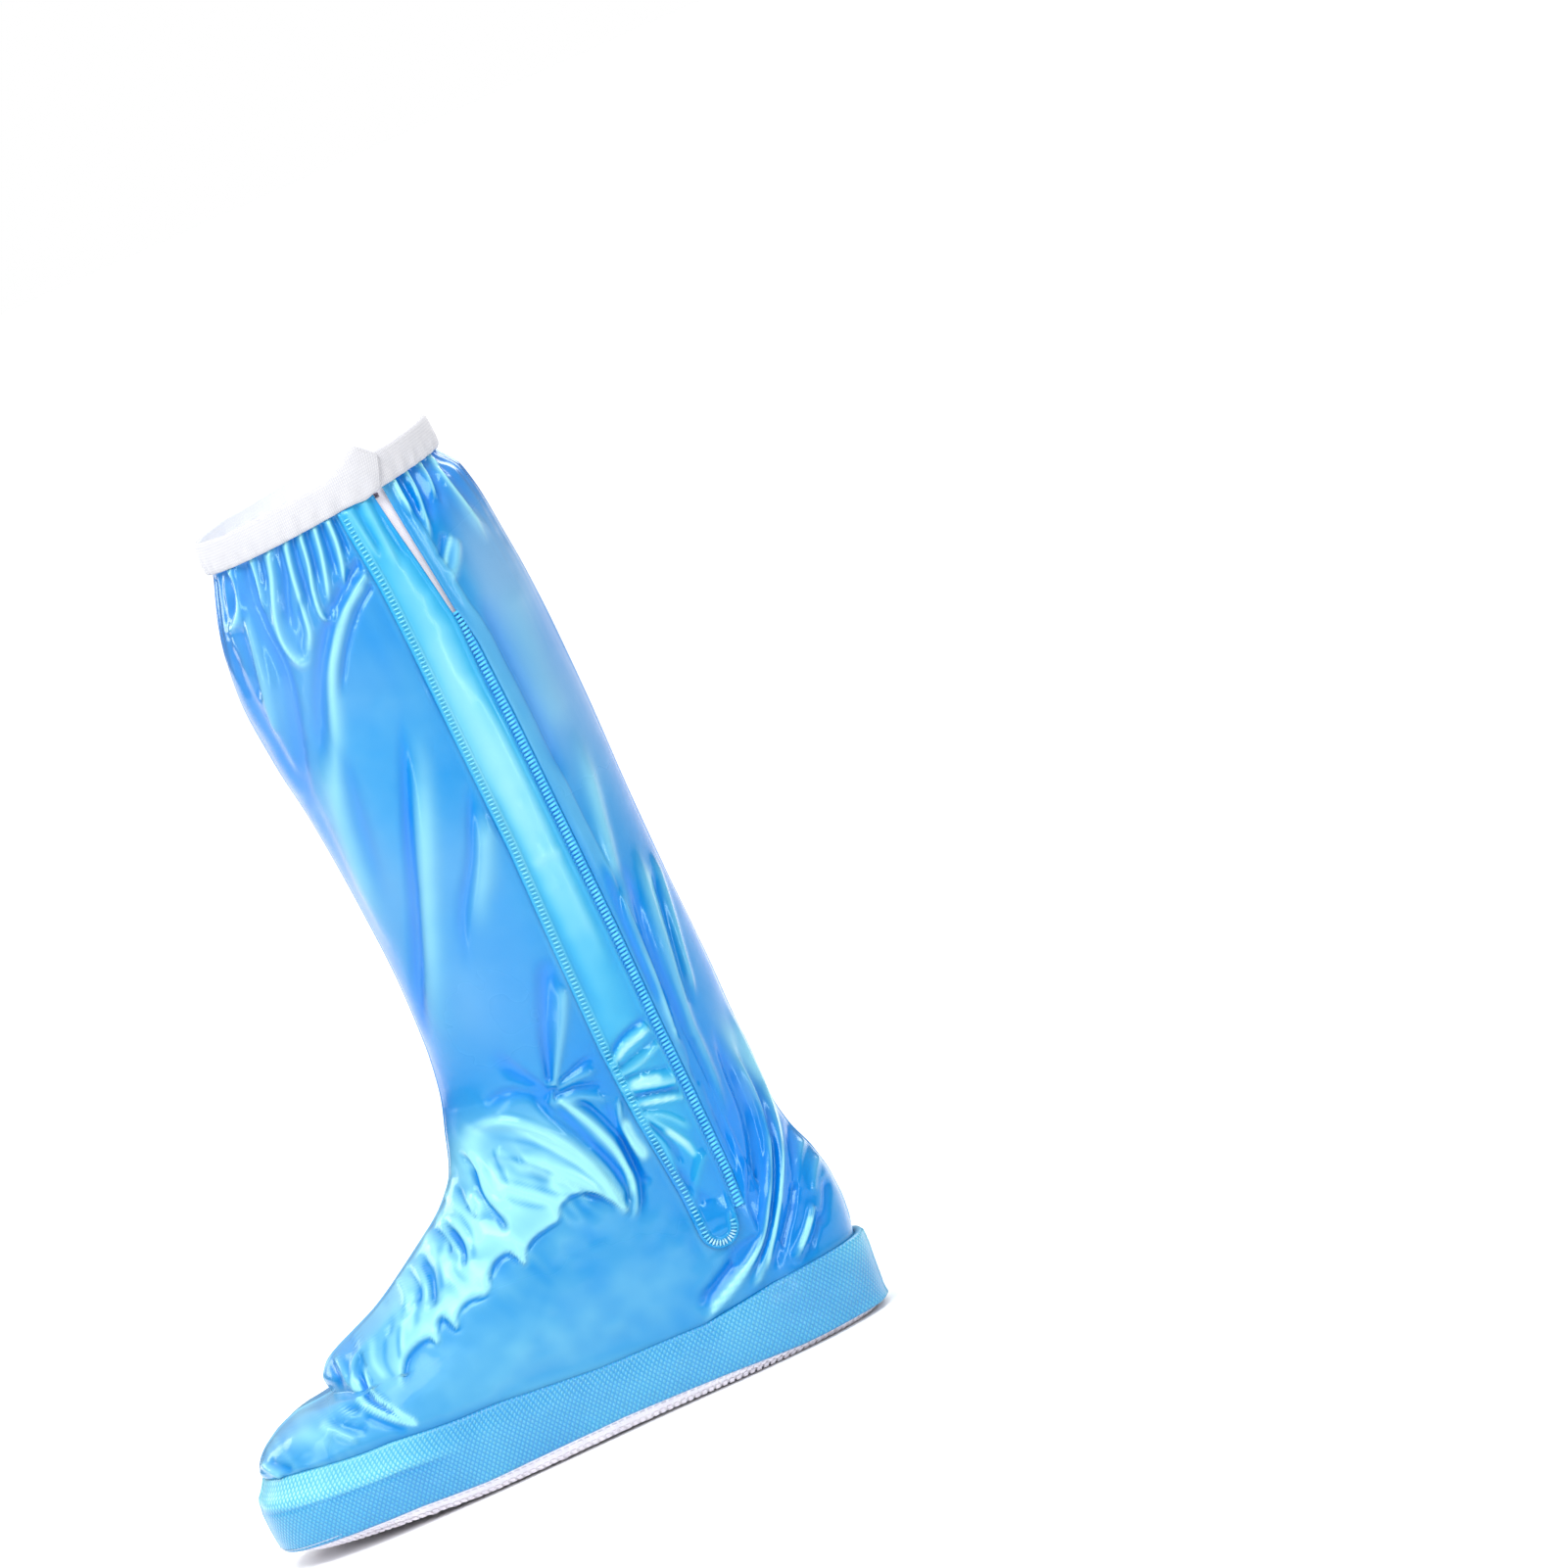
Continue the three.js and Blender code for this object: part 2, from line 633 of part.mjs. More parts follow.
async function shoeCover() {
  const wasm = await Module();
  wasm.setup();
  const cover = new THREE.Group();
  cover.name = 'shoe_cover';
  cover.add(
    piece('upper_film', upperFilm(wasm), finishes.film),
    piece('top_band', topBand(), finishes.band),
    piece('zip_flap', zipFlap(), finishes.flap),
    piece('zip_tape', zipTape(), finishes.tape),
    piece('zip_chain', zipChain(), finishes.chain),
    piece('zip_stop', zipStop(), finishes.stop),
    piece('welt', welt(), finishes.welt),
    piece('outsole', outsole(), finishes.sole),
  );
  return cover;
}

export default await shoeCover();
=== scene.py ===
import math

import bpy
import numpy as np
from mathutils import Matrix, Vector


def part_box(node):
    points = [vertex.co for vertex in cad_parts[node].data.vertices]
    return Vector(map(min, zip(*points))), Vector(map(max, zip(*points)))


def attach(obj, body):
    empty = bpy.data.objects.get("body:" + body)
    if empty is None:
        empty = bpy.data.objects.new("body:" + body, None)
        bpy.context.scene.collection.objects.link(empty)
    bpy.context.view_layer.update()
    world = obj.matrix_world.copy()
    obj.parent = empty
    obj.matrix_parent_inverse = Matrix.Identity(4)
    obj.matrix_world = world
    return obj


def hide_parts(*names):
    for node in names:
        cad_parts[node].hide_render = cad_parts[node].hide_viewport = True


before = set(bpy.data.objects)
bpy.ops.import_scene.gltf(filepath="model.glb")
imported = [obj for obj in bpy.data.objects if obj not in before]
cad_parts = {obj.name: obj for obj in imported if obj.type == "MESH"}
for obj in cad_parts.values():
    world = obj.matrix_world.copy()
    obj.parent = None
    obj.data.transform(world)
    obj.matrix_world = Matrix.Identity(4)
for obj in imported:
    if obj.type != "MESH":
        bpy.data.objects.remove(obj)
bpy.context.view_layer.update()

# ---- sizes of the cover in millimetres, as the solids have them ----
LENGTH = 295.0
BALL_WIDTH = 108.0
CALF_WIDTH = 114.0
THROAT = 149.0
FILM_HEIGHT = 435.0
MOUTH_RISE = 10.4
MOUTH_FRONT, MOUTH_DEPTH = 0.517, 0.381
WELT_HEIGHT = 30.0
WELT_WALL = 2.0
CLEAR = 0.3
TOE_SPRING = 7.0
TOE_SPRING_POWER = 1.15
SPRING_START = 0.335
BAND_HEIGHT = 15.0
BAND_WALL = 1.6
BAND_PEAK = 7.0
BAND_LAP = 9.0
FLAP_FOOT = 57.0
SLIT_FOOT = 70.0
CHAIN_HEAD = 366.6
# depth, place and spread along the sole, and upper end
WAIST = (0.1, 0.62, 0.16, 0.3)
METRES_PER_MM = 0.001
UV_PER_MM = 0.01

# along, bottom and top edge of the welt
WELT_EDGES = np.array([
    (0.0, 0.067, 1.1), (0.225, 0.22, 1.27), (0.395, 0.23, 1.23), (0.56, 0.245, 1.05),
    (0.73, 0.18, 0.99), (0.85, 0.1, 1.12), (1.0, 0.09, 1.15),
])
# reach, front, back, half, widest, nose, tail
WELT_SECTIONS = np.array([
    (-1, 0.041, 0.969, 0.435, 0.34, 2.5, 2.5), (0, 0.013, 0.987, 0.472, 0.34, 2.6, 2.6),
    (0.3, 0.0095, 0.991, 0.479, 0.34, 2.6, 2.6), (0.62, 0.008, 0.993, 0.479, 0.34, 2.6, 2.6),
    (1, 0.032, 0.99, 0.468, 0.34, 2.5, 2.6),
])
# up, front, back, half, widest, nose, tail
FOOT = np.array([
    (0.041, 0.019, 0.994, 0.463, 0.34, 2.5, 2.6), (0.11, 0.037, 0.996, 0.454, 0.34, 2.4, 2.5),
    (0.173, 0.072, 0.995, 0.44, 0.35, 2.3, 2.5), (0.213, 0.112, 0.9945, 0.431, 0.36, 2.2, 2.5),
    (0.227, 0.171, 0.994, 0.426, 0.36, 2.1, 2.5), (0.284, 0.168, 0.99, 0.417, 0.37, 2.0, 2.5),
    (0.339, 0.179, 0.985, 0.407, 0.4, 1.9, 2.4), (0.477, 0.289, 0.967, 0.394, 0.45, 1.8, 2.3),
    (0.609, 0.3685, 0.959, 0.389, 0.48, 1.8, 2.2), (0.743, 0.4375, 0.958, 0.398, 0.5, 1.9, 2.1),
    (0.85, 0.4695, 0.958, 0.412, 0.5, 1.95, 2.0),
])
# up, front, back, half, rise
SHAFT = np.array([
    (0.0, 0.488, 0.958, 0.412, 0), (0.069, 0.507, 0.958, 0.439, 0), (0.15, 0.5165, 0.9565, 0.465, 0),
    (0.24, 0.519, 0.954, 0.482, 0), (0.374, 0.513, 0.9525, 0.491, 0), (0.528, 0.5005, 0.954, 0.5, 0),
    (0.647, 0.484, 0.9525, 0.5, 0.1), (0.745, 0.477, 0.9485, 0.496, 0.25),
    (0.829, 0.483, 0.9405, 0.478, 0.5), (0.885, 0.493, 0.934, 0.456, 0.7),
    (0.93, 0.506, 0.9235, 0.43, 0.9), (0.972, 0.517, 0.898, 0.408, 1), (1.0, 0.517, 0.898, 0.408, 1),
])
# up, flap edge and middle of the zip
ZIP_LINES = np.array([
    (0.13, 0.777, 0.846), (0.2, 0.7735, 0.8525), (0.29, 0.76, 0.851), (0.37, 0.7535, 0.848),
    (0.48, 0.7525, 0.847), (0.6, 0.7535, 0.842), (0.72, 0.7475, 0.837), (0.83, 0.743, 0.829),
    (0.9, 0.738, 0.814), (0.96, 0.728, 0.8), (1.02, 0.722, 0.788),
])


def smooth(low, high, value):
    t = np.clip((value - low) / (high - low), 0, 1)
    return t * t * (3 - 2 * t)


def bell(value):
    return np.exp(-value ** 2)


def unit(vectors):
    return vectors / np.linalg.norm(vectors, axis=-1, keepdims=True)


def grid_normals(grid):
    """Outward directions of a grid that is closed round the leg."""
    normals = np.cross(np.roll(grid, -1, 1) - np.roll(grid, 1, 1), np.gradient(grid, axis=0))
    return normals / np.maximum(np.linalg.norm(normals, axis=-1, keepdims=True), 1e-9)


def pchip(h, y, q):
    """Smooth interpolation that never overshoots its knots."""
    d = np.diff(y) / np.diff(h)
    w = np.diff(h)
    m = np.zeros(len(h))
    m[0], m[-1] = d[0], d[-1]
    for k in range(1, len(h) - 1):
        if d[k - 1] * d[k] > 0:
            a, b = 2 * w[k] + w[k - 1], w[k] + 2 * w[k - 1]
            m[k] = (a + b) / (a / d[k - 1] + b / d[k])
    q = np.clip(q, h[0], h[-1])
    k = np.clip(np.searchsorted(h, q) - 1, 0, len(h) - 2)
    t = (q - h[k]) / w[k]
    return ((1 + 2 * t) * (1 - t) ** 2 * y[k] + t * (1 - t) ** 2 * w[k] * m[k]
            + t * t * (3 - 2 * t) * y[k + 1] + t * t * (t - 1) * w[k] * m[k + 1])


def underside(along):
    return TOE_SPRING * (np.maximum(0, SPRING_START - along) / SPRING_START) ** TOE_SPRING_POWER


def welt_edge(column, along):
    return underside(along) + WELT_HEIGHT * np.interp(along, WELT_EDGES[:, 0], WELT_EDGES[:, column])


CROWN = max(float(welt_edge(2, row[0])) for row in WELT_EDGES)
# The film's sections by height: height, front, back, half, widest, nose, tail, waist, rise
KNOTS = np.array(
    [(CROWN + r[0] * (THROAT - CROWN), r[1], r[2], r[3] * BALL_WIDTH, r[4], r[5], r[6],
      WAIST[0] * max(0, 1 - r[0] / WAIST[3]), 0) for r in FOOT]
    + [(THROAT + r[0] * (FILM_HEIGHT - THROAT), r[1], r[2], r[3] * CALF_WIDTH, 0.5, 2, 2, 0,
        r[4] * MOUTH_RISE) for r in SHAFT])
FOOT_START = float(KNOTS[0, 0])
MOUTH = float(KNOTS[-2, 0])


def section(values, angle, height):
    """Points round one or many sections; the angle runs from the toe over the zip side."""
    front, back, half, widest, nose, tail, waist = values
    u = (1 - np.cos(angle)) / 2
    ahead = u < widest
    t = np.abs(u - widest) / np.where(ahead, widest, 1 - widest)
    power = np.where(ahead, nose, tail)
    around = np.maximum(0, 1 - t ** power) ** (1 / power)
    narrow = 1 - waist * bell((u - WAIST[1]) / WAIST[2])
    along = front + u * (back - front)
    side = np.where(np.sin(angle) >= 0, -1.0, 1.0)
    return np.stack([(along - 0.5) * LENGTH + 0 * around, side * half * around * narrow, height(along, u)], -1)


def params(s):
    return [pchip(KNOTS[:, 0], KNOTS[:, k], s) for k in range(1, 9)]


def skin(s, angle):
    """A point of the film's skin at a section height s above the welt."""
    p = params(s)
    return section(p[:7], angle, lambda along, u: s + p[7] * (u - 0.5))


def skin_normal(s, angle):
    around = skin(s, angle + 0.012) - skin(s, angle - 0.012)
    up = skin(np.minimum(s + 1.5, FILM_HEIGHT), angle) - skin(s - 1.5, angle)
    return unit(np.cross(around, up))


def on_zip_side(x, z):
    """Section height and angle of the zip side's point at x from the toe and z."""
    s = np.array(z, float)
    for _ in range(3):
        p = params(s)
        u = np.clip((x / LENGTH - p[0]) / (p[1] - p[0]), 0.001, 0.999)
        s = z - p[7] * (u - 0.5)
    return s, np.arccos(1 - 2 * u)


def zip_surface(x, z):
    """Points of the zip side's skin and their outward directions."""
    s, a = on_zip_side(x, z)
    return skin(s, a), skin_normal(s, a)


def zip_line(column, z):
    return LENGTH * np.interp(z / FILM_HEIGHT, ZIP_LINES[:, 0], ZIP_LINES[:, column])


def below_mouth(x, z):
    return MOUTH + MOUTH_RISE * ((x / LENGTH - MOUTH_FRONT) / MOUTH_DEPTH - 0.5) - z


# ---- folds: points (x from the toe, z), width, height and skew of each ----
def curve_through(points, per=10):
    p = np.array(points, float)
    if len(p) == 2:
        return np.linspace(p[0], p[1], per + 1)
    q = np.vstack([2 * p[0] - p[1], p, 2 * p[-1] - p[-2]])
    out = []
    for i in range(1, len(q) - 2):
        t = np.linspace(0, 1, per, endpoint=False)[:, None]
        a, b, c, d = q[i - 1], q[i], q[i + 1], q[i + 2]
        out.append(0.5 * (2 * b + (c - a) * t + (2 * a - 5 * b + 4 * c - d) * t ** 2
                          + (3 * b - a - 3 * c + d) * t ** 3))
    return np.vstack(out + [p[-1:]])


def to_line(line, xz):
    """Signed distance to a line and the place along it, for many points."""
    a, b = line[:-1], line[1:]
    d = b - a
    length = np.linalg.norm(d, axis=1)
    start = np.concatenate([[0], np.cumsum(length)])[:-1]
    rel = xz[:, None, :] - a[None]
    t = np.clip((rel * d[None]).sum(-1) / (length ** 2)[None], 0, 1)
    off = rel - t[..., None] * d[None]
    dist = np.linalg.norm(off, axis=-1)
    k = dist.argmin(1)
    i = np.arange(len(xz))
    cross = d[k, 0] * off[i, k, 1] - d[k, 1] * off[i, k, 0]
    return np.where(cross >= 0, 1, -1) * dist[i, k], (start[k] + t[i, k] * length[k]) / length.sum()


NO_LIMIT = 99


def fold_relief(folds, xz, limit=1.5):
    """Sum of all folds at many points; no fold is steeper than the limit lets it be."""
    total = np.zeros(len(xz))
    for points, width, height, skew, ends in folds:
        line = curve_through(points)
        reach = 3 * max(width)
        near = ((xz > line.min(0) - reach) & (xz < line.max(0) + reach)).all(1)
        if not near.any():
            continue
        signed, place = to_line(line, xz[near])
        w = width[0] + (width[1] - width[0]) * place
        w = w * np.where(signed > 0, 1 + skew, 1 - skew)
        taper = smooth(-0.001, ends[0], place) * smooth(-0.001, ends[1], 1 - place)
        steep = min(1.0, limit * min(width) / abs(height))
        total[near] += height * steep * taper * bell(signed / w)
    return total


def lattice_noise(x, z, size, seed):
    """Smooth seeded noise from -1 to 1 over a plane."""
    grid = np.random.default_rng(seed).uniform(-1, 1, (64, 64))
    a, b = x / size + 20, z / size + 20
    i, j = np.floor(a).astype(int), np.floor(b).astype(int)
    f, g = a - i, b - j
    f, g = f * f * (3 - 2 * f), g * g * (3 - 2 * g)

    def at(p, q):
        return grid[p % 64, q % 64]

    return ((at(i, j) * (1 - f) + at(i + 1, j) * f) * (1 - g)
            + (at(i, j + 1) * (1 - f) + at(i + 1, j + 1) * f) * g)


def fold(points, width, height, skew=0.0, ends=(0.18, 0.18)):
    width = width if isinstance(width, tuple) else (width, width)
    return points, width, height, skew, ends


TOP = (0.02, 0.3)
ZIP_SIDE = [
    # gathers under the band
    fold([(153, 426), (148, 415), (145, 402)], 2.2, 1.6, 0, TOP),
    fold([(157, 426), (158, 413), (152, 402), (147, 399)], 1.8, -1.8, 0, TOP),
    fold([(162, 426), (160, 412), (156, 402), (150, 397), (146, 399)], 1.8, 1.9, 0, TOP),
    fold([(168, 426), (166, 410), (164, 392), (165, 372), (158, 345), (150, 318), (147, 300)],
         (2.6, 3.4), -2.2, 0, (0.02, 0.2)),
    fold([(172, 427), (170, 412), (166, 398)], 1.6, 1.4, 0, TOP),
    fold([(160, 405), (157, 385), (153, 365), (150, 350), (146, 346)], 2.0, 1.5, 0, (0.2, 0.15)),
    fold([(154, 400), (152, 380), (149, 362)], 1.6, -1.3),
    fold([(147, 395), (146, 370), (147, 345), (149, 318)], 2.2, -1.4),
    fold([(176, 427), (174, 417), (172, 408)], 1.5, -1.5, 0, TOP),
    fold([(181, 427), (177, 412), (171, 395), (170, 382), (174, 373), (180, 376)],
         (1.6, 2.0), 1.9, 0, (0.02, 0.12)),
    fold([(185, 427), (182, 412), (177, 398), (175, 385)], (1.4, 2.2), -2.0, 0, TOP),
    fold([(189, 427), (186, 412), (184, 398), (182, 384), (176, 374)], 1.6, 1.8, 0, (0.02, 0.15)),
    fold([(192, 427), (190, 415), (188, 402), (187, 392)], 1.3, -1.7, 0, TOP),
    fold([(196, 427), (194, 412), (191, 400), (190, 389), (193, 386), (197, 392)], 1.3, 2.0, 0, (0.02, 0.1)),
    fold([(199, 427), (197, 415), (194, 402)], 1.3, -1.6, 0, TOP),
    fold([(203, 427), (201, 414), (198, 402), (194, 391)], 1.5, 1.8, 0, TOP),
    fold([(206, 427), (205, 416), (203, 402)], 1.3, -1.6, 0, TOP),
    fold([(209.5, 427), (209, 415), (206, 402), (201, 392)], 1.5, 1.7, 0, TOP),
    fold([(212.5, 427), (212.5, 418), (211, 408)], 1.3, -1.4, 0, TOP),
    fold([(243, 433), (243, 424), (244, 412)], 1.4, 1.5, 0, TOP),
    fold([(246, 433), (247, 423), (247, 408)], 1.4, -1.7, 0, TOP),
    fold([(249, 434), (250, 424), (249, 410), (247, 398)], 1.4, 1.6, 0, TOP),
    fold([(252, 434), (253, 422), (252, 404)], 1.6, -1.9, 0, TOP),
    fold([(255.5, 434), (257, 424), (256, 412)], 1.3, 1.5, 0, TOP),
    fold([(258, 434), (259.5, 422), (259, 408)], 1.3, -1.4, 0, TOP),
    fold([(260.5, 434), (263, 420), (267, 402), (270, 385)], (1.4, 2.4), 1.9, 0, TOP),
    fold([(263, 433), (268, 415), (272, 395)], 1.6, -1.2, 0, TOP),
    fold([(258, 396), (255, 389), (250, 382), (247, 383)], 1.8, 1.7),
    fold([(254, 400), (250, 393), (247, 390)], 1.8, -1.2),
    # long folds of the shaft
    fold([(216, 398.5), (205, 391), (194, 380.5), (185, 366), (178.5, 350), (171, 330), (164, 308),
          (160, 292)],
         (1.5, 4.4), 2.6, 0.1, (0.01, 0.4)),
    fold([(216, 405), (203, 396.5), (190, 384), (178, 366), (169, 345), (160, 318)],
         (2.4, 3.6), -2.4, 0, (0.01, 0.4)),
    fold([(216, 393), (204, 384), (194, 372.5), (186, 360), (180, 349)], (1.1, 1.8), -2.0, 0, (0.01, 0.3)),
    fold([(207, 345), (194, 310), (185, 286), (176, 260), (167.5, 238), (159, 214), (153, 188)],
         (2.3, 2.8), -2.6, 0, (0.4, 0.25)),
    fold([(213, 338), (203, 312), (194, 288), (184, 262), (175, 238), (166, 212), (159, 188)],
         (4.8, 4.2), 2.0, 0.1, (0.35, 0.35)),
    fold([(220, 298), (207, 267), (195, 248), (189, 236), (182, 212)], (2.2, 3.2), -1.7, 0, (0.25, 0.5)),
    fold([(220, 284), (211, 262), (201, 244), (193, 224)], (4.4, 5.2), 1.6, 0.1, (0.25, 0.5)),
    fold([(176, 360), (171, 320), (166, 286), (160, 250)], (3.0, 4.0), -1.2, 0, (0.4, 0.4)),
    fold([(168, 345), (162, 310), (158, 270), (155, 236)], 4.2, 1.5, 0, (0.3, 0.4)),
    fold([(153, 330), (152, 290), (153, 250), (155, 215)], 2.6, -1.2, 0, (0.3, 0.4)),
    fold([(219, 212), (211, 196), (203, 178), (196.5, 157)], (4.4, 2.0), -2.4, 0, (0.2, 0.03)),
    fold([(220, 196), (213, 181), (204, 166), (197, 155)], (3.0, 1.6), 1.6, 0, (0.1, 0.03)),
    # ankle pinch and the thick ridge below it
    fold([(195, 153), (204, 157), (214, 160), (221, 160)], 1.5, -1.5, 0, (0.05, 0.3)),
    fold([(195, 151), (206, 151), (219, 147)], 1.3, -1.6, 0, (0.05, 0.3)),
    fold([(197, 154.5), (208, 155), (220, 154)], 1.7, 1.4, 0, (0.1, 0.3)),
    fold([(197, 148), (209, 145), (220, 138)], 2.0, 1.1, 0, (0.1, 0.3)),
    fold([(195, 152), (190, 160), (183, 170), (178, 182)], (2.0, 4.0), -2.0, 0, (0.05, 0.4)),
    fold([(194, 150), (187, 156), (176, 160), (162, 158)], (2.2, 3.2), -1.5, 0, (0.05, 0.3)),
    fold([(150, 150), (166, 151), (178, 145.5), (189, 134), (197, 121), (201.5, 107), (203, 95), (205, 89.5)],
         (2.6, 1.5), 3.0, -0.35, (0.2, 0.02)),
    fold([(186, 158), (191.5, 144), (197.5, 132), (203.5, 120), (207.5, 108), (208, 98), (205.5, 92)],
         (2.6, 1.5), -4.2, 0, (0.15, 0.06)),
    fold([(196, 150), (202.5, 141), (208.5, 128), (212, 114), (212, 101), (208.5, 90), (203.5, 86)],
         (1.5, 1.3), 3.0, 0, (0.03, 0.1)),
    fold([(203, 148), (209.5, 137), (214.5, 122), (215.5, 106), (213.5, 94), (208, 85)],
         1.5, -2.0, 0, (0.15, 0.2)),
    fold([(188, 150), (194, 140), (200, 128), (204, 116)], 0.9, 1.1, 0, (0.3, 0.3)),
    fold([(222, 140), (218, 129), (218.5, 118), (222.5, 106)], (1.3, 2.2), 2.8, 0.2, (0.15, 0.2)),
    fold([(215, 124), (215.5, 110), (218.5, 96)], 2.2, -1.8),
    # crinkles of the vamp
    fold([(147, 143), (149, 133), (148, 122), (151, 112), (152.5, 102)], 1.4, -2.0, 0, (0.15, 0.1)),
    fold([(151, 142), (153, 132), (152, 121), (155, 110)], 2.0, 1.2),
    fold([(139, 128), (140, 118), (142, 111)], 1.2, -1.5),
    fold([(145, 124), (146, 117), (143, 112)], 1.5, 1.3),
    fold([(127, 117), (130.5, 110), (131, 102), (128.5, 95)], 1.2, -1.9, 0, (0.2, 0.1)),
    fold([(123, 115), (126, 108), (125, 102)], 1.0, -1.5),
    fold([(131, 118), (134, 108), (133, 97)], 1.6, 1.2),
    fold([(112, 107), (114, 99), (112, 92), (109, 84)], 1.2, -1.8, 0, (0.2, 0.1)),
    fold([(105, 103), (106, 95), (103, 88)], 1.2, -1.2),
    fold([(99, 100), (99, 92), (95, 84)], 1.3, 1.3),
    fold([(108, 104), (109, 94), (106, 85)], 1.4, 1.2),
    fold([(90, 95), (89, 87), (85, 80)], 1.3, -0.9),
    fold([(118, 110), (120, 100), (118, 90)], 1.8, 1.1),
    fold([(162, 139), (164, 130), (163, 120)], 2.6, 0.9),
    fold([(170, 132), (180, 124), (190, 113), (198, 101)], (2.8, 2.2), 1.5),
    fold([(166, 126), (178, 117), (190, 106), (199, 97)], (2.2, 1.6), -1.2),
    # toe
    fold([(49.5, 68), (51, 64), (55, 60.5), (61, 58)], 1.3, -1.6, 0, (0.05, 0.2)),
    fold([(14, 60), (27, 63.5), (40, 64.5), (50, 62)], 1.5, 1.0),
    fold([(57.5, 86), (59, 76), (59, 64)], 1.3, 1.3),
    fold([(54, 84), (55, 74), (55, 66)], 1.3, -1.2),
    fold([(76, 82), (67, 78), (62, 70), (61, 62), (67, 55), (75, 47), (82, 41.5)],
         (1.3, 1.0), 2.0, 0, (0.25, 0.15)),
    fold([(66, 73), (65.5, 64), (69, 57), (76, 49)], 1.1, -1.8, 0, (0.2, 0.2)),
    fold([(70, 74), (68, 64), (71.5, 56), (78, 47.5), (82, 42.5)], 1.0, 1.5, 0, (0.2, 0.15)),
    fold([(60, 56), (67, 49), (76, 41)], 1.8, -1.2),
    fold([(40, 59), (47, 52), (54, 45)], (2.2, 1.4), 1.4),
    fold([(45, 60), (51, 54), (60, 48)], 2.0, -1.1),
    fold([(9, 50), (12, 46.5), (16, 42)], 1.4, 1.6),
    fold([(13, 51), (17, 47), (21, 44)], 1.6, -1.0),
    fold([(22, 58), (34, 55), (44, 50)], 5.0, 1.0),
    # heel
    fold([(281.5, 158), (282, 130), (281, 104), (277, 84), (270, 69), (261, 55.5), (250, 43), (240, 34)],
         (1.3, 1.6), 2.4, 0.2, (0.2, 0.05)),
    fold([(276, 140), (276.5, 115), (274.5, 93), (268, 77), (260, 62.5), (252.5, 52), (240, 43),
          (226, 35.5), (216, 31)],
         (1.2, 1.7), 2.3, 0.2, (0.2, 0.02)),
    fold([(279, 140), (279, 110), (276, 89), (269.5, 73), (260.5, 58.5), (250, 47), (238, 38.5)],
         1.1, -2.6, 0, (0.2, 0.15)),
    fold([(273, 150), (271.5, 124), (269.5, 102), (264, 84), (255, 66), (246, 54), (230, 45), (214, 37)],
         (2.0, 2.8), -3.2, 0, (0.2, 0.08)),
    fold([(262, 92), (254, 76), (243, 62), (228, 52)], 3.4, 1.2, 0, (0.3, 0.3)),
    fold([(286, 96), (282, 79), (273.5, 63), (263, 50), (252, 38)], 1.7, -2.2),
    fold([(281, 57), (276, 50), (269, 43), (262, 37.5)], (1.4, 1.6), 2.3, 0, (0.12, 0.2)),
    fold([(283, 53), (278, 46), (271, 39)], 1.3, -1.4),
    fold([(289, 84), (282, 76), (276, 66)], 2.0, 1.4),
    fold([(291, 64), (286, 54), (280, 46)], 1.8, -1.4),
    fold([(292, 74), (287, 68), (283, 60)], 1.5, 1.0),
    fold([(214, 30.5), (228, 32), (244, 34)], 1.6, 1.8, 0, (0.1, 0.3)),
    # soft upright folds behind the zip
    fold([(271, 300), (267, 272), (263, 246), (260, 228), (256.5, 205), (257, 180), (255, 158), (252, 144)],
         (3.6, 1.8), 1.9, 0, (0.2, 0.06)),
    fold([(262, 236), (257, 216), (254.5, 192), (253.5, 168)], (2.0, 2.6), -1.8, 0, (0.2, 0.15)),
    fold([(268, 232), (264, 212), (261, 188), (259, 160), (260, 130), (257, 100), (255, 82)], 1.9, -1.6),
    fold([(274, 240), (270, 214), (267, 186), (264, 160), (264, 132), (261, 104)], 2.2, 1.7),
    fold([(279, 232), (276, 206), (273, 184), (270, 162)], 1.4, 1.7, 0, (0.2, 0.2)),
    fold([(277, 226), (273.5, 204), (270, 180), (267.5, 158)], 1.3, -1.5),
    fold([(255, 158), (252.5, 150), (250.5, 142)], 1.8, 1.8),
    fold([(262, 150), (258, 138), (254, 126)], 2.0, -1.2),
    fold([(270, 370), (268, 330), (266, 295)], 6.0, 1.2),
    fold([(258, 372), (258, 345), (259, 310), (258, 275)], 3.0, -1.1),
]
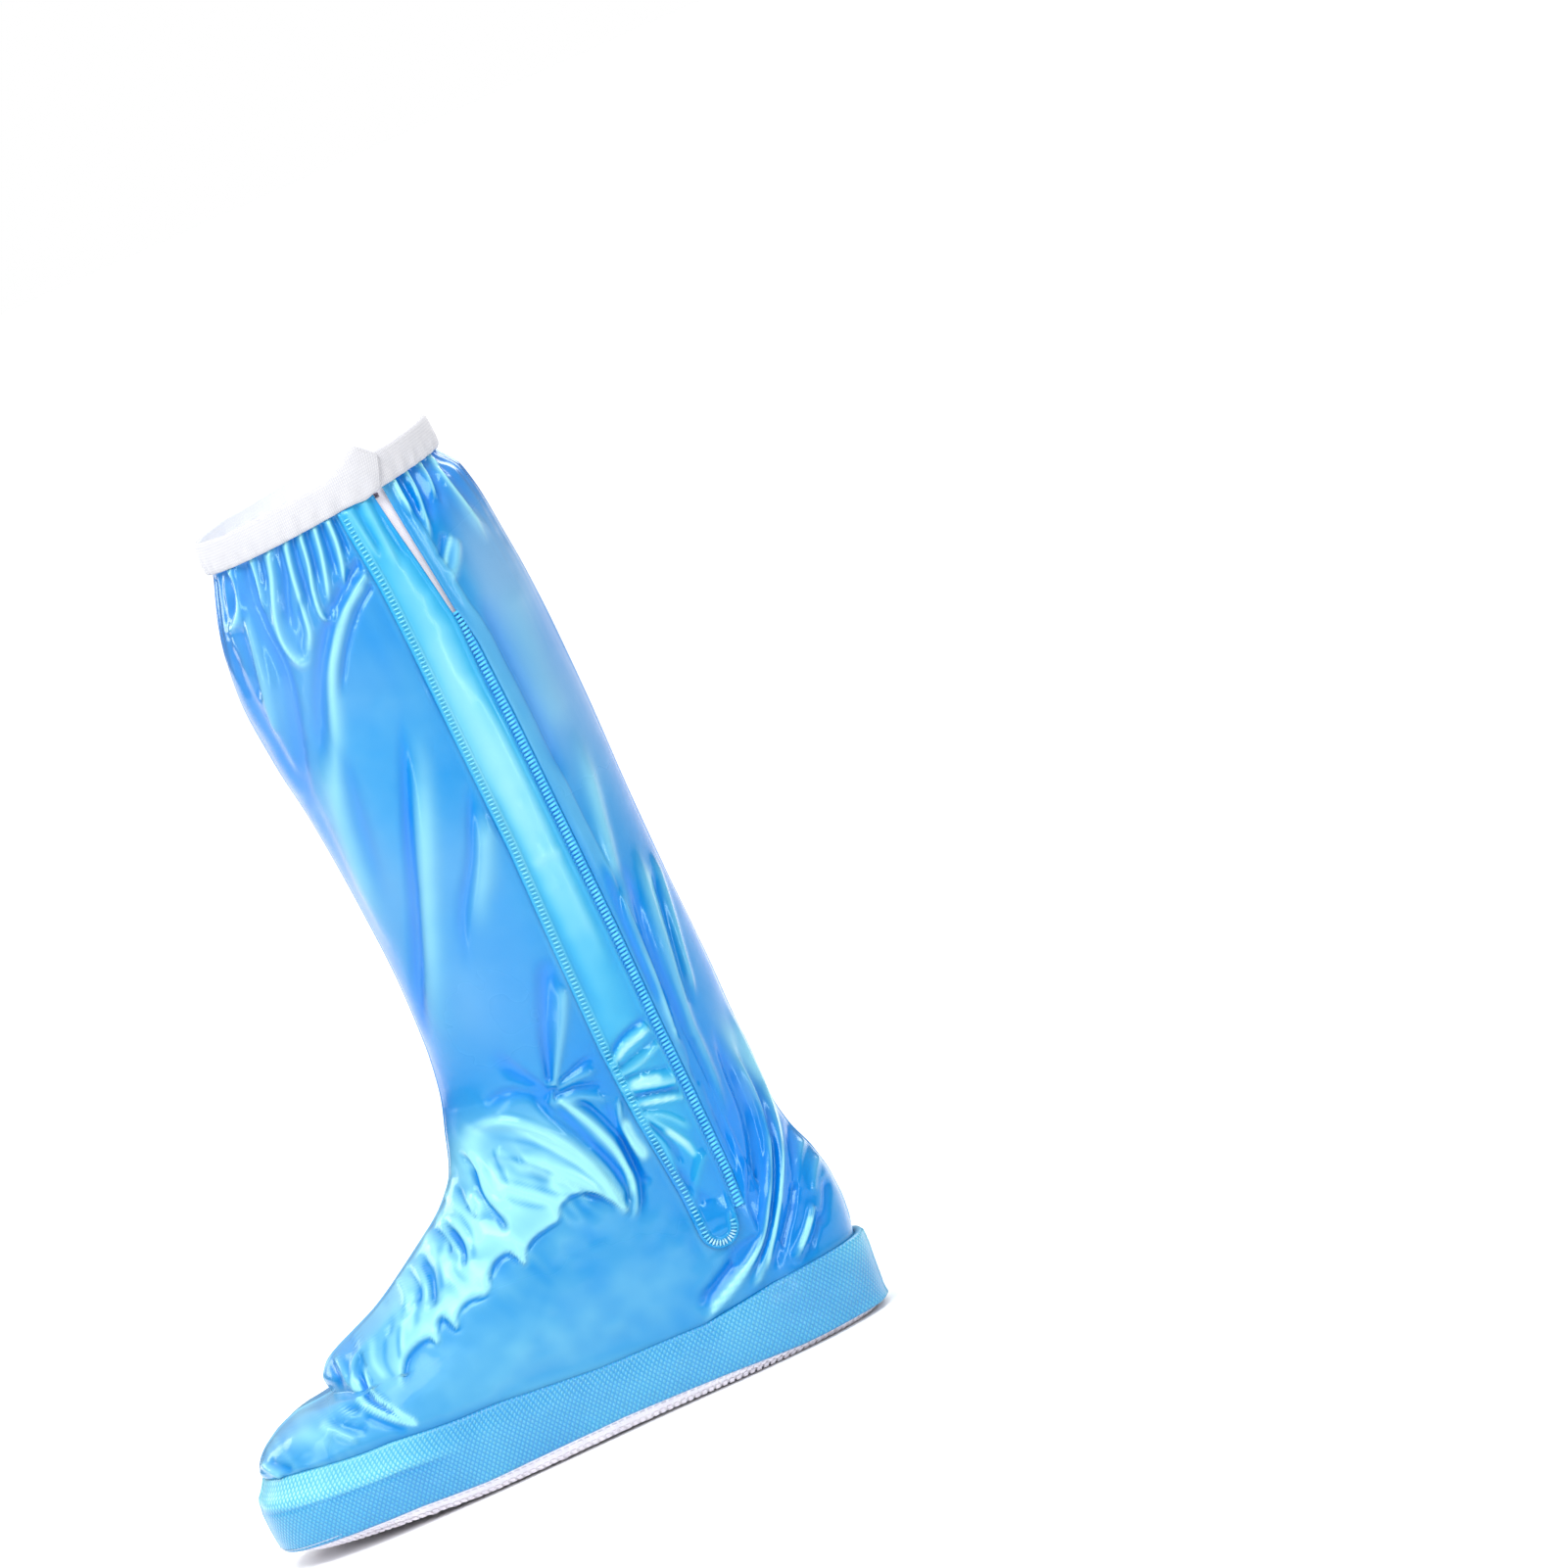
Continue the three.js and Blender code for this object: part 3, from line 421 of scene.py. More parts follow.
PLAIN_SIDE = [
    fold([(196, 428), (190, 380), (178, 320), (166, 250), (156, 196)], (3.0, 4.4), 2.6, 0, (0.05, 0.3)),
    fold([(178, 428), (172, 380), (163, 320), (156, 256)], (2.6, 4.0), -2.4, 0, (0.05, 0.3)),
    fold([(228, 428), (225, 395), (214, 350), (200, 310)], (2.2, 4.0), 2.2, 0, (0.05, 0.3)),
    fold([(250, 380), (236, 330), (220, 280), (204, 236), (190, 205)], (3.6, 4.4), -2.4),
    fold([(256, 370), (243, 322), (228, 272), (212, 232)], 3.6, 2.0),
    fold([(268, 330), (264, 280), (258, 230), (256, 196)], 4.4, 1.7),
    fold([(275, 250), (270, 210), (262, 176), (250, 158)], 2.6, -1.9),
    fold([(206, 151), (224, 157), (243, 167), (262, 171)], 2.2, -1.6, 0, (0.04, 0.4)),
    fold([(207, 148), (222, 147), (238, 142), (250, 143)], 2.8, 1.3, 0, (0.04, 0.5)),
    fold([(204, 147), (221, 138), (235, 124), (243, 104)], 1.8, -1.6, 0, (0.04, 0.4)),
    fold([(203, 146), (212, 132), (220, 112), (222, 92)], 2.2, 2.2, 0, (0.04, 0.3)),
    fold([(201, 146), (202, 130), (204, 112), (200, 92)], 1.8, -2.6, 0, (0.04, 0.2)),
    fold([(150, 150), (170, 146), (186, 134), (196, 116), (198, 98)], (3.4, 2.2), 3.0, 0, (0.2, 0.1)),
    fold([(203, 152), (196, 166), (186, 182), (176, 200)], 2.4, -2.2, 0, (0.04, 0.4)),
    fold([(208, 154), (217, 172), (221, 204)], 2.8, 1.2, 0, (0.04, 0.5)),
    fold([(148, 142), (150, 130), (150, 114), (146, 102)], 1.6, -2.0),
    fold([(132, 120), (136, 108), (134, 94)], 1.6, -1.8),
    fold([(118, 110), (121, 98), (118, 86)], 1.7, 1.7),
    fold([(104, 103), (108, 92), (105, 80)], 1.5, -1.6),
    fold([(84, 90), (92, 80), (112, 84), (134, 92), (158, 100)], 2.0, 1.6),
    fold([(58, 82), (60, 68), (68, 55), (80, 42)], 2.0, 2.2, 0, (0.2, 0.05)),
    fold([(65, 74), (67, 62), (76, 50)], 1.4, -1.7),
    fold([(30, 60), (42, 55), (52, 46)], 3.0, 1.3),
    fold([(281, 150), (281, 110), (273, 76), (256, 52), (236, 38)], 2.2, 2.6, 0, (0.15, 0.1)),
    fold([(276, 140), (275, 108), (266, 80), (250, 58), (228, 42)], 2.0, -2.2, 0, (0.15, 0.1)),
    fold([(270, 130), (268, 104), (258, 80), (240, 60)], 2.0, 1.8),
    fold([(244, 136), (248, 112), (244, 90)], 3.0, 1.3),
]
# Painted highlights on crests and painted shade in creases of the film, as changes of tone
PAINTED_LIGHT_STROKES = [
    fold([(63.5, 73), (62, 66), (63.5, 58.5), (69, 52), (75, 47), (81.5, 42)],
         (1.2, 1.0), 0.75, 0, (0.2, 0.1)),
    fold([(70, 76), (67.5, 68), (68, 61), (73, 53), (81, 43)], 0.9, 0.6, 0, (0.3, 0.1)),
    fold([(36, 62), (43, 63.4), (50, 63.4), (55, 58.9), (60, 58.4)], 0.8, 0.35),
    fold([(66, 72), (65, 65), (66.5, 59), (72, 51), (79, 44)], 0.8, -0.45),
    fold([(171, 148), (183, 135), (193, 121), (201, 105), (204, 92)], (1.8, 1.1), 0.45, 0, (0.3, 0.05)),
    fold([(198, 147), (205, 133), (210.5, 117), (211, 101), (205, 90)], 1.1, 0.4, 0, (0.1, 0.2)),
    fold([(194, 149), (202, 127), (207.5, 111), (207, 98)], 2.0, -0.4),
    fold([(214, 140), (216.5, 122), (215, 104)], 2.4, -0.3),
    fold([(220, 130), (219.5, 118), (222.5, 106)], (1.8, 3.0), 0.6, 0, (0.2, 0.3)),
    fold([(277, 156), (279, 130), (281, 106)], 3.2, 0.3, 0, (0.45, 0.4)),
    fold([(281.5, 112), (282, 98), (278.5, 84.5), (270, 69), (260, 54), (249, 39)], 0.9, 0.6, 0, (0.1, 0.1)),
    fold([(275, 100), (271, 80), (262.4, 65), (253.7, 52), (238.5, 43), (219, 33.5)],
         1.1, 0.55, 0, (0.3, 0.03)),
    fold([(279, 104), (275, 84), (266, 67), (256, 52), (246, 42)], 1.0, -0.45),
    fold([(268, 120), (262, 88), (252, 66), (232, 50)], 4.5, -0.25),
    fold([(278, 53), (272, 46), (266, 41)], 1.3, 0.5),
    fold([(213, 395), (202, 388), (193, 377.5), (184, 366), (177, 350), (173, 336)],
         (1.2, 2.6), 0.2, 0, (0.05, 0.5)),
    fold([(212, 401), (197, 391), (185, 377), (175, 361)], 1.4, -0.28, 0, (0.05, 0.4)),
    fold([(186, 402), (179, 388), (175, 377)], 1.2, -0.25),
    fold([(163, 426), (161, 408), (156, 396)], 1.2, -0.25, 0, TOP),
    fold([(159, 420), (165, 392), (164, 366), (156, 336)], 1.8, -0.22, 0, TOP),
    fold([(148, 372), (148, 345), (150, 320)], 1.6, -0.25),
    fold([(155, 404), (151, 399), (147, 401)], 0.9, 0.4),
    fold([(193, 388), (195, 388.5)], 1.2, 0.6),
    fold([(248, 386), (252, 392), (257, 398)], 1.0, 0.4),
    fold([(178, 119), (187, 112), (195, 103)], 4.2, 0.3),
    fold([(160, 146), (177, 136), (191, 119), (200, 100)], (1.6, 1.0), -0.16, 0, (0.3, 0.1)),
    fold([(158, 138), (173, 128), (187, 112), (196, 101)], (1.4, 0.9), -0.2, 0, (0.3, 0.1)),
    fold([(155, 129), (168, 119), (181, 109), (189, 106)], (1.4, 0.9), -0.2, 0, (0.3, 0.1)),
    fold([(154, 120), (163, 112), (174, 105)], 1.2, -0.2),
    fold([(157, 124), (166, 115), (178, 106)], 1.0, 0.2),
    fold([(92, 84), (88, 77), (85, 69)], 1.0, -0.25),
    fold([(96, 86), (91, 79), (88, 72)], 0.9, 0.25),
    fold([(108, 96), (103, 88), (98, 79)], 0.9, -0.25),
    fold([(103, 94), (98, 86), (94, 78)], 0.9, 0.25),
    fold([(122, 108), (119, 99), (114, 88)], 0.9, -0.22),
    fold([(126, 110), (122, 100), (119, 90)], 0.9, 0.25),
    fold([(136, 119), (137, 108), (134, 96)], 0.9, -0.22),
    fold([(144, 126), (141, 114), (140, 102)], 1.0, 0.25),
    fold([(158, 136), (157, 124), (158, 110)], 1.2, 0.2),
    fold([(162, 140), (161, 130), (162, 120)], 0.9, -0.2),
    fold([(78, 84), (74, 74), (76, 64)], 1.6, 0.2),
    fold([(84, 82), (79, 72), (80, 62)], 1.2, -0.15),
    fold([(160, 151), (153, 143), (151, 131)], 5.0, 0.25),
    fold([(150, 134), (149, 120), (152, 104)], 1.2, -0.3),
    fold([(129, 113), (131, 103), (129, 96)], 1.0, -0.3),
    fold([(112, 104), (112, 93), (109, 86)], 1.0, -0.3),
    fold([(140, 120), (142, 112)], 1.0, -0.25),
    fold([(99, 98), (96, 86)], 1.0, -0.2),
    fold([(196, 316), (185, 286), (176, 260), (167.5, 238), (159, 214), (153, 190)],
         2.2, -0.22, 0, (0.35, 0.2)),
    fold([(257, 240), (255, 200), (254, 165)], 2.0, -0.3),
    fold([(266, 236), (262, 196), (261, 150)], 1.6, -0.3),
    fold([(274, 230), (270, 190), (267, 160)], 1.4, 0.25),
]
# painted highlights along the crests of the gathers
PAINTED_LIGHT_STROKES += [fold(points, 0.6, 0.35, 0, TOP) for points, _, height, _, _ in ZIP_SIDE
            if height > 1.3 and points[0][1] > 420]
# The edge under the puffed film of the vamp, with its scallops
SCALLOPS = [(82, 56), (83.5, 63.5), (88, 70), (95, 73.5), (101, 74), (104, 70.5), (107, 78), (110.5, 80),
            (114, 73.5), (117, 79), (124, 82.5), (133, 82), (137, 89), (142, 93.5), (149, 94.5), (153.5, 87),
            (156, 92.5), (162, 96.5), (171, 98.5), (175, 99.5), (178, 104.5), (185, 107), (193, 104.5),
            (199, 98), (204, 90)]

# ---- the film: one closed grid round the leg, parted at shin and heel seams ----
ZIP_COLUMNS = 330
SLIT_COLUMNS = (214, 221)
PLAIN_COLUMNS = 190


def slit_left(z):
    return zip_line(2, z) - 2.8


def slit_right(z):
    return zip_line(2, z) + np.interp(z, [60, 350, 367, 400, 430], [2.8, 2.8, 0.7, 1.4, 2.4])


def film_angles(front, back, z):
    """Angles of one row, with two columns on the edges of the slit."""
    edge = [float(np.arccos(np.clip(1 - 2 * (f(z) / LENGTH - front) / (back - front), -1, 1)))
            for f in (slit_left, slit_right)]
    a, b = SLIT_COLUMNS
    zip_part = np.interp(np.arange(ZIP_COLUMNS), [0, a, b, ZIP_COLUMNS], [0, edge[0], edge[1], math.pi])
    plain_part = math.pi * (1 + np.arange(PLAIN_COLUMNS) / PLAIN_COLUMNS)
    return np.concatenate([zip_part, plain_part])


def welt_level(k, along):
    """Height of the welt's section k, where 5 stands for the lowest section of the foot."""
    if k == 5:
        return FOOT_START
    reach = WELT_SECTIONS[k, 0]
    return (1 - reach) * welt_edge(1, along) + reach * welt_edge(2, along)


# the film's rows behind the welt, as places between the welt's sections; the columns run
# there as they do on the zip's line at WELT_ZIP_HEIGHT
LOW_LEVELS = (2, 2.6, 3.2, 3.7, 4, 4.12, 4.25, 4.4, 4.55, 4.7, 4.85)
LOW_SECTIONS = np.vstack([WELT_SECTIONS[:, 1:], FOOT[:1, 1:]])
WELT_ZIP_HEIGHT = 40.0
rows = []
for level in LOW_LEVELS:
    low = int(level)
    f = level - low
    mid = LOW_SECTIONS[low] * (1 - f) + LOW_SECTIONS[low + 1] * f
    angle = film_angles(mid[0], mid[1], WELT_ZIP_HEIGHT)

    def height(along, u, low=low, f=f):
        return (1 - f) * welt_level(low, along) + f * welt_level(low + 1, along)

    values = (mid[0], mid[1], mid[2] * BALL_WIDTH, mid[3], mid[4], mid[5], WAIST[0])
    rows.append(section(values, angle, height))
heights = np.concatenate([
    np.arange(FOOT_START, 63.0, 1.05), np.arange(63.0, 65.6, 0.26), np.arange(65.6, 165, 1.02),
    np.arange(165, 385, 1.95), np.linspace(385, FILM_HEIGHT, 40)])
for s in heights:
    p = params(s)
    angle = film_angles(p[0], p[1], s)
    rows.append(section(p[:7], angle, lambda along, u: s + p[7] * (u - 0.5)))
base = np.array(rows)
for _ in range(3):
    base[5:30] = (base[4:29] + 2 * base[5:30] + base[6:31]) / 4
R, C = base.shape[:2]
# the widths of the foot are evened over SOFT millimetres of height, away from its ends
SOFT = 7.0
first = len(LOW_LEVELS)
last = first + int(np.searchsorted(heights, 104))
for part, order in ((slice(0, ZIP_COLUMNS + 1), 1), (slice(ZIP_COLUMNS, C), -1)):
    block = base[:, part][:, ::order]
    level_z = block[:, 60, 2]
    wide = {r: (block[r, :, 0], np.abs(block[r, :, 1])) for r in range(5, last + 40)}
    for r in range(first, last):
        x = block[r, :, 0]
        total, weight = np.zeros(len(x)), np.zeros(len(x))
        for q in range(max(5, r - 45), r + 40):
            gap = (level_z[q] - level_z[r]) / SOFT
            if abs(gap) > 2.4:
                continue
            gain = (level_z[q + 1] - level_z[q - 1]) * math.exp(-gap * gap) * smooth(6, 26, x - wide[q][0].min())
            total += gain * np.interp(x, *wide[q])
            weight += gain
        mean = total / np.maximum(weight, 1e-6)
        nose = max(x.min(), -LENGTH / 2 + 51 * smooth(44, 60, level_z[r]))
        near_end = (smooth(3, 20, x - nose) * smooth(2, 12, x.max() - x) * smooth(first - 1, first + 6, r)
                    * smooth(last, last - 14, r))
        y = np.abs(block[r, :, 1]) * (1 - near_end) + mean * near_end
        block[r, :, 1] = np.sign(block[r, :, 1]) * y
normal = grid_normals(base)

x_toe = base[..., 0] + LENGTH / 2
z_all = base[..., 2]
is_zip = np.broadcast_to(np.arange(C)[None] < ZIP_COLUMNS, (R, C))
above_welt = z_all - welt_edge(2, x_toe / LENGTH)


def calm_zip(x, z, fade):
    """0 under the flap and the zip, 1 a few millimetres away from them."""
    ahead = zip_line(1, z) - x
    behind = x - zip_line(2, z) - 3.2
    return smooth(0, fade, np.maximum(np.maximum(ahead, behind), FLAP_FOOT - z))


def blob(x, z, wide, high, power=2):
    """A round spot of the film, seen from the side."""
    return np.exp(-((x_toe - x) / wide) ** power - ((z_all - z) / high) ** power)


lift = np.zeros((R, C))
flat = np.stack([x_toe, z_all], -1)
side_y = np.abs(base[..., 1])
for folds, mask in ((ZIP_SIDE, is_zip), (PLAIN_SIDE, ~is_zip)):
    lift[mask] = fold_relief(folds, flat[mask])
# folds are placed as seen from the side, so they fade out on the parts that face up
steep_part = 1 - smooth(0.78, 0.93, np.abs(normal[..., 2]))
lift *= steep_part
# the puffed vamp over its scalloped edge
scallop = curve_through(SCALLOPS, 6)
vamp = is_zip & (x_toe > 70) & (x_toe < 215) & (z_all > 50) & (z_all < 160)
signed, place = to_line(scallop, flat[vamp])
ends = smooth(0.0, 0.06, place) * smooth(0.0, 0.05, 1 - place)
level = np.convolve(np.pad(scallop[:, 1], 8, "edge"), np.ones(17) / 17, "valid")
arch = np.interp(place, np.linspace(0, 1, len(scallop)), smooth(-3.0, 2.5, scallop[:, 1] - level))
lift[vamp] += ends * 1.9 * smooth(-0.5, 0.9, signed) * np.exp(-np.maximum(signed, 0) / 22)
lift[vamp] -= ends * 0.7 * arch * bell((signed + 1.2) / 0.9)
# short gathers all round the mouth where no fold is named
below = below_mouth(x_toe, z_all)
turn = np.broadcast_to(np.arange(C)[None] / C, (R, C))
turn = 2 * math.pi * turn
wave = 38 * turn + 1.1 * np.sin(5 * turn + 1) + 0.8 * np.sin(11 * turn)
runs = 28 + 12 * np.sin(7 * turn + 0.4) + 7 * np.sin(17 * turn)
gather = smooth(-2, 4, below) * np.exp(-np.maximum(below, 0) / runs)
lift += np.where(is_zip, 0.35, 1.5) * gather * np.cos(wave)
# soft unevenness and fine crinkles
x_noise = x_toe + np.where(is_zip, 0.0, 300.0)
broad = lattice_noise(x_noise, z_all, 34, 1)
fine = lattice_noise(x_noise, z_all, 9, 2) + 0.6 * lattice_noise(x_noise, z_all, 5, 3)
foot_part = 1 - smooth(120, 190, z_all)
lift += 0.9 * broad + (0.08 + 0.14 * foot_part) * fine
slanted = (x_noise + 0.35 * z_all) * 1.5, (z_all - 0.2 * x_toe) * 0.55
crinkle = 1 - 2 * np.abs(lattice_noise(*slanted, 9, 21))
crumpled = blob(140, 112, 52, 24) + 0.5 * bell((x_toe - 28) / 26)
lift += 0.6 * crumpled * smooth(48, 62, z_all) * crinkle
lift *= smooth(0, 5, above_welt) * np.where(is_zip, calm_zip(x_toe, z_all, 3.0), 1)
lift *= smooth(0.0, 9.0, side_y) * 0.85 + 0.15
lift = np.where(below < 8, np.minimum(lift, 0.35 + 0.8 * np.maximum(0, below)), lift)
lift *= smooth(-9, -1, below) * 0.9 + 0.1
lift *= 1 - 0.75 * blob(50, 65, 6, 4.5)
over_tape = is_zip & (np.abs(x_toe - zip_line(2, z_all)) < 11.5)
lift = np.where(over_tape, np.maximum(lift, -1.1), lift)
# hem behind the zip and the welded rims of shin and heel
behind = x_toe - slit_right(z_all)
hem = smooth(-0.2, 0.5, behind) * (1 - smooth(6.4, 7.4, behind)) * smooth(SLIT_FOOT, SLIT_FOOT + 4, z_all)
lift += np.where(is_zip, 0.7 * hem, 0)
rim = bell(side_y / 1.4) * smooth(2, 8, above_welt) * (1 - smooth(MOUTH - 12, MOUTH - 2, z_all))
lift += 0.5 * rim
film = base + normal * lift[..., None]
# the film's head is tucked under the band
film[first:, :, 2] -= 0.7 * np.maximum(0, heights - MOUTH)[:, None]

# lighter and darker parts of the film as painted light and shade, glossier and duller parts: x, z, their half
# sizes, change of tone, of gloss
PAINTED_LIGHT_AND_GLOSS_REGIONS = [
    (150, 122, 52, 30, 0.20, 0.2), (25, 58, 26, 12, 0.1, 0.2), (264, 82, 18, 42, -0.42, 0.4),
    (262, 190, 15, 62, -0.12, 0.3), (138, 52, 74, 22, 0.14, -0.75), (262, 340, 22, 60, 0.0, -0.4),
    (215, 150, 12, 24, -0.15, 0.1), (185, 190, 26, 34, -0.05, -0.1),
    (255, 416, 16, 14, -0.22, 0.4), (180, 408, 40, 22, -0.03, 0.4), (146, 380, 10, 60, -0.06, 0.3),
]
# tone: painted light on raised folds and crinkles and painted shade in creases, with random tone from the broad
# noise
tone_and_painted_light = 0.46 + 0.14 * lift - 0.09 * broad + 0.14 * crumpled * crinkle
# painted shade: darker along the shin and heel seams of the shaft, at the outline
tone_and_painted_light -= 0.26 * bell(side_y / 15) * smooth(125, 175, z_all)
seen = (steep_part * calm_zip(x_toe, z_all, 2.2))[is_zip]
# the strokes paint highlights on crests and shade in creases
tone_and_painted_light[is_zip] += fold_relief(PAINTED_LIGHT_STROKES, flat[is_zip], NO_LIMIT) * seen
gloss = 0.6 + 0 * lift
# the regions paint light and shade and change the gloss
for x, z, wide, high, painted_light, glossier in PAINTED_LIGHT_AND_GLOSS_REGIONS:
    spot = blob(x, z, wide, high)
    tone_and_painted_light += painted_light * spot
    gloss += glossier * spot
# parts of the film with a painted pale sheen standing in for reflections: x, z, their half sizes and strength
PAINTED_SHEEN_SPOTS = [(270, 345, 13, 62, 0.8), (192, 228, 24, 56, 0.3), (160, 290, 14, 66, 0.2), (178, 385, 40, 44, 0.3),
         (278, 130, 5, 26, 0.35)]
painted_sheen = np.zeros((R, C))
for x, z, wide, high, strength in PAINTED_SHEEN_SPOTS:
    painted_sheen += strength * blob(x, z, wide, high, 4)
painted_sheen = np.clip(painted_sheen * (0.75 + 0.35 * broad), 0, 1)
# painted light on the puffed film above the scalloped lip and painted shade in a thin line under it
lip_painted_light_and_shade = np.zeros((R, C))
lip_painted_light_and_shade[vamp] = ends * ((0.32 - 0.2 * arch) * smooth(-0.2, 0.8, signed) * np.exp(-np.maximum(signed, 0) / 5)
                          - 0.25 * (arch - 0.3) * bell((signed + 0.8) / 0.7))
tone_and_painted_light = np.clip(tone_and_painted_light + lip_painted_light_and_shade, 0, 1)
gloss = np.clip(gloss, 0, 1)


def new_mesh(name, points, faces, material, uv=None, tones_and_painted_light=None, glosses=None, painted_sheens=None):
    """A smooth mesh object from points in millimetres."""
    mesh = bpy.data.meshes.new(name)
    points = np.asarray(points, float) * METRES_PER_MM
    mesh.from_pydata(points.tolist(), [], np.asarray(faces).tolist() if not isinstance(faces, list) else faces)
    mesh.polygons.foreach_set("use_smooth", np.ones(len(mesh.polygons), bool))
    if uv is not None:
        layer = mesh.uv_layers.new(name="UVMap")
        index = np.zeros(len(mesh.loops), np.int32)
        mesh.loops.foreach_get("vertex_index", index)
        layer.data.foreach_set("uv", np.asarray(uv, np.float32)[index].ravel())
    for label, values in (("tone_and_painted_light", tones_and_painted_light), ("gloss", glosses), ("painted_sheen", painted_sheens)):
        if values is not None:
            layer = mesh.attributes.new(label, "FLOAT", "POINT")
            layer.data.foreach_set("value", np.asarray(values, np.float32).ravel())
    mesh.materials.append(material)
    mesh.update()
    obj = bpy.data.objects.new(name, mesh)
    bpy.context.collection.objects.link(obj)
    return obj


def grid_faces(rows, columns, closed=False, keep=None):
    r, c = np.meshgrid(np.arange(rows - 1), np.arange(columns if closed else columns - 1), indexing="ij")
    n = (c + 1) % columns
    faces = np.stack([r * columns + c, r * columns + n, (r + 1) * columns + n, (r + 1) * columns + c], -1)
    faces = faces.reshape(-1, 4)
    return faces if keep is None else faces[keep.ravel()]


def closed_sheet(outer, inner, closed=False):
    """Faces of a sheet with thickness between two equal grids."""
    rows, columns = outer.shape[:2]
    n = rows * columns
    top = grid_faces(rows, columns, closed)
    faces = [top, top[:, ::-1] + n]
    edge = np.arange(columns)
    nxt = np.roll(edge, -1) if closed else edge[1:]
    edge = edge if closed else edge[:-1]
    last = (rows - 1) * columns
    faces.append(np.stack([edge, edge + n, nxt + n, nxt], -1))
    faces.append(np.stack([edge + last, nxt + last, nxt + last + n, edge + last + n], -1))
    if not closed:
        r = np.arange(rows - 1) * columns
        for k, flip in ((0, 1), (columns - 1, -1)):
            faces.append(np.stack([r + k, r + columns + k, r + columns + k + n, r + k + n], -1)[:, ::flip])
    points = np.concatenate([outer.reshape(-1, 3), inner.reshape(-1, 3)])
    return points, np.concatenate(faces)


# ---- materials ----
WHITE = (1, 1, 1, 1)
# length of one wave of the wave texture at a scale of 1
WAVE_LENGTH = 0.314


def grey(value):
    return value, value, value, 1


def linear(*rgb):
    c = np.array(rgb) / 255
    return tuple(np.where(c <= 0.04045, c / 12.92, ((c + 0.055) / 1.055) ** 2.4)) + (1.0,)


class Shader:
    def __init__(self, name, roughness, **sockets):
        self.material = bpy.data.materials.new(name)
        self.material.use_nodes = True
        self.tree = self.material.node_tree
        self.bsdf = next(n for n in self.tree.nodes if n.type == "BSDF_PRINCIPLED")
        self.bsdf.inputs["Roughness"].default_value = roughness
        for key, value in sockets.items():
            self.bsdf.inputs[key.replace("_", " ")].default_value = value

    def node(self, kind, **settings):
        node = self.tree.nodes.new(kind)
        for key, value in settings.items():
            if hasattr(node, key):
                setattr(node, key, value)
            else:
                node.inputs[key.replace("_", " ")].default_value = value
        return node

    def link(self, source, target):
        self.tree.links.new(source, target)

    def ramp(self, source, stops):
        node = self.node("ShaderNodeValToRGB")
        ramp = node.color_ramp
        ramp.interpolation = "CARDINAL"
        while len(ramp.elements) < len(stops):
            ramp.elements.new(0.5)
        for element, (place, colour) in zip(ramp.elements, stops):
            element.position = place
            element.color = colour
        self.link(source, node.inputs["Fac"])
        return node.outputs["Color"]

    def noise(self, scale, detail=3.0):
        node = self.node("ShaderNodeTexNoise", Scale=scale, Detail=detail)
        self.link(self.node("ShaderNodeTexCoord").outputs["Object"], node.inputs["Vector"])
        return node.outputs["Fac"]

    def attribute(self, name):
        return self.node("ShaderNodeAttribute", attribute_name=name).outputs["Fac"]

    def waves(self, vector, direction, pitch):
        """Even bands with a pitch in millimetres."""
        node = self.node("ShaderNodeTexWave", wave_type="BANDS", bands_direction=direction,
                         Scale=WAVE_LENGTH / (pitch * UV_PER_MM))
        self.link(vector, node.inputs["Vector"])
        return node.outputs["Color"]

    def mix(self, kind, factor, a, b):
        node = self.node("ShaderNodeMix", data_type="RGBA", blend_type=kind)
        for socket, value in ((node.inputs[0], factor), (node.inputs[6], a), (node.inputs[7], b)):
            if isinstance(value, bpy.types.NodeSocket):
                self.link(value, socket)
            else:
                socket.default_value = value
        return node.outputs[2]

    def bump(self, source, strength, distance, normal=None):
        node = self.node("ShaderNodeBump", Strength=strength, Distance=distance)
        self.link(source, node.inputs["Height"])
        if normal is not None:
            self.link(normal, node.inputs["Normal"])
        return node.outputs["Normal"]

    def finish(self, colour, normal=None, roughness=None):
        for source, socket in ((colour, "Base Color"), (normal, "Normal"), (roughness, "Roughness")):
            if source is not None:
                self.link(source, self.bsdf.inputs[socket])
        return self.material


def film_material(name, deep, middle, light):
    s = Shader(name, 0.2, Specular_IOR_Level=0.55, Specular_Tint=(0.5, 0.92, 1, 1), Coat_Weight=0.22,
               Coat_Roughness=0.1)
    # colour from the tone attribute: painted light and shade with random tone
    colour = s.ramp(s.attribute("tone_and_painted_light"), [(0.1, deep), (0.5, middle), (0.95, light)])
    # a pale colour mixed in by the painted sheen attribute, as painted reflection
    colour = s.mix("MIX", s.attribute("painted_sheen"), colour, linear(128, 168, 202))
    cloud = s.ramp(s.noise(26.0, 2.0), [(0.2, (0.93, 0.96, 0.98, 1)), (0.8, WHITE)])
    colour = s.mix("MULTIPLY", 1.0, colour, cloud)
    rough = s.ramp(s.attribute("gloss"), [(0.0, grey(0.5)), (0.6, grey(0.25)), (1.0, grey(0.12))])
    patch = s.ramp(s.noise(60.0, 1.0), [(0.15, grey(0.85)), (0.85, grey(1.15))])
    rough = s.mix("MULTIPLY", 1.0, rough, patch)
    soft = s.bump(s.noise(190.0, 1.0), 0.1, 0.0008)
    fine = s.bump(s.noise(900.0, 0.0), 0.08, 0.0002, soft)
    return s.finish(colour, fine, rough)


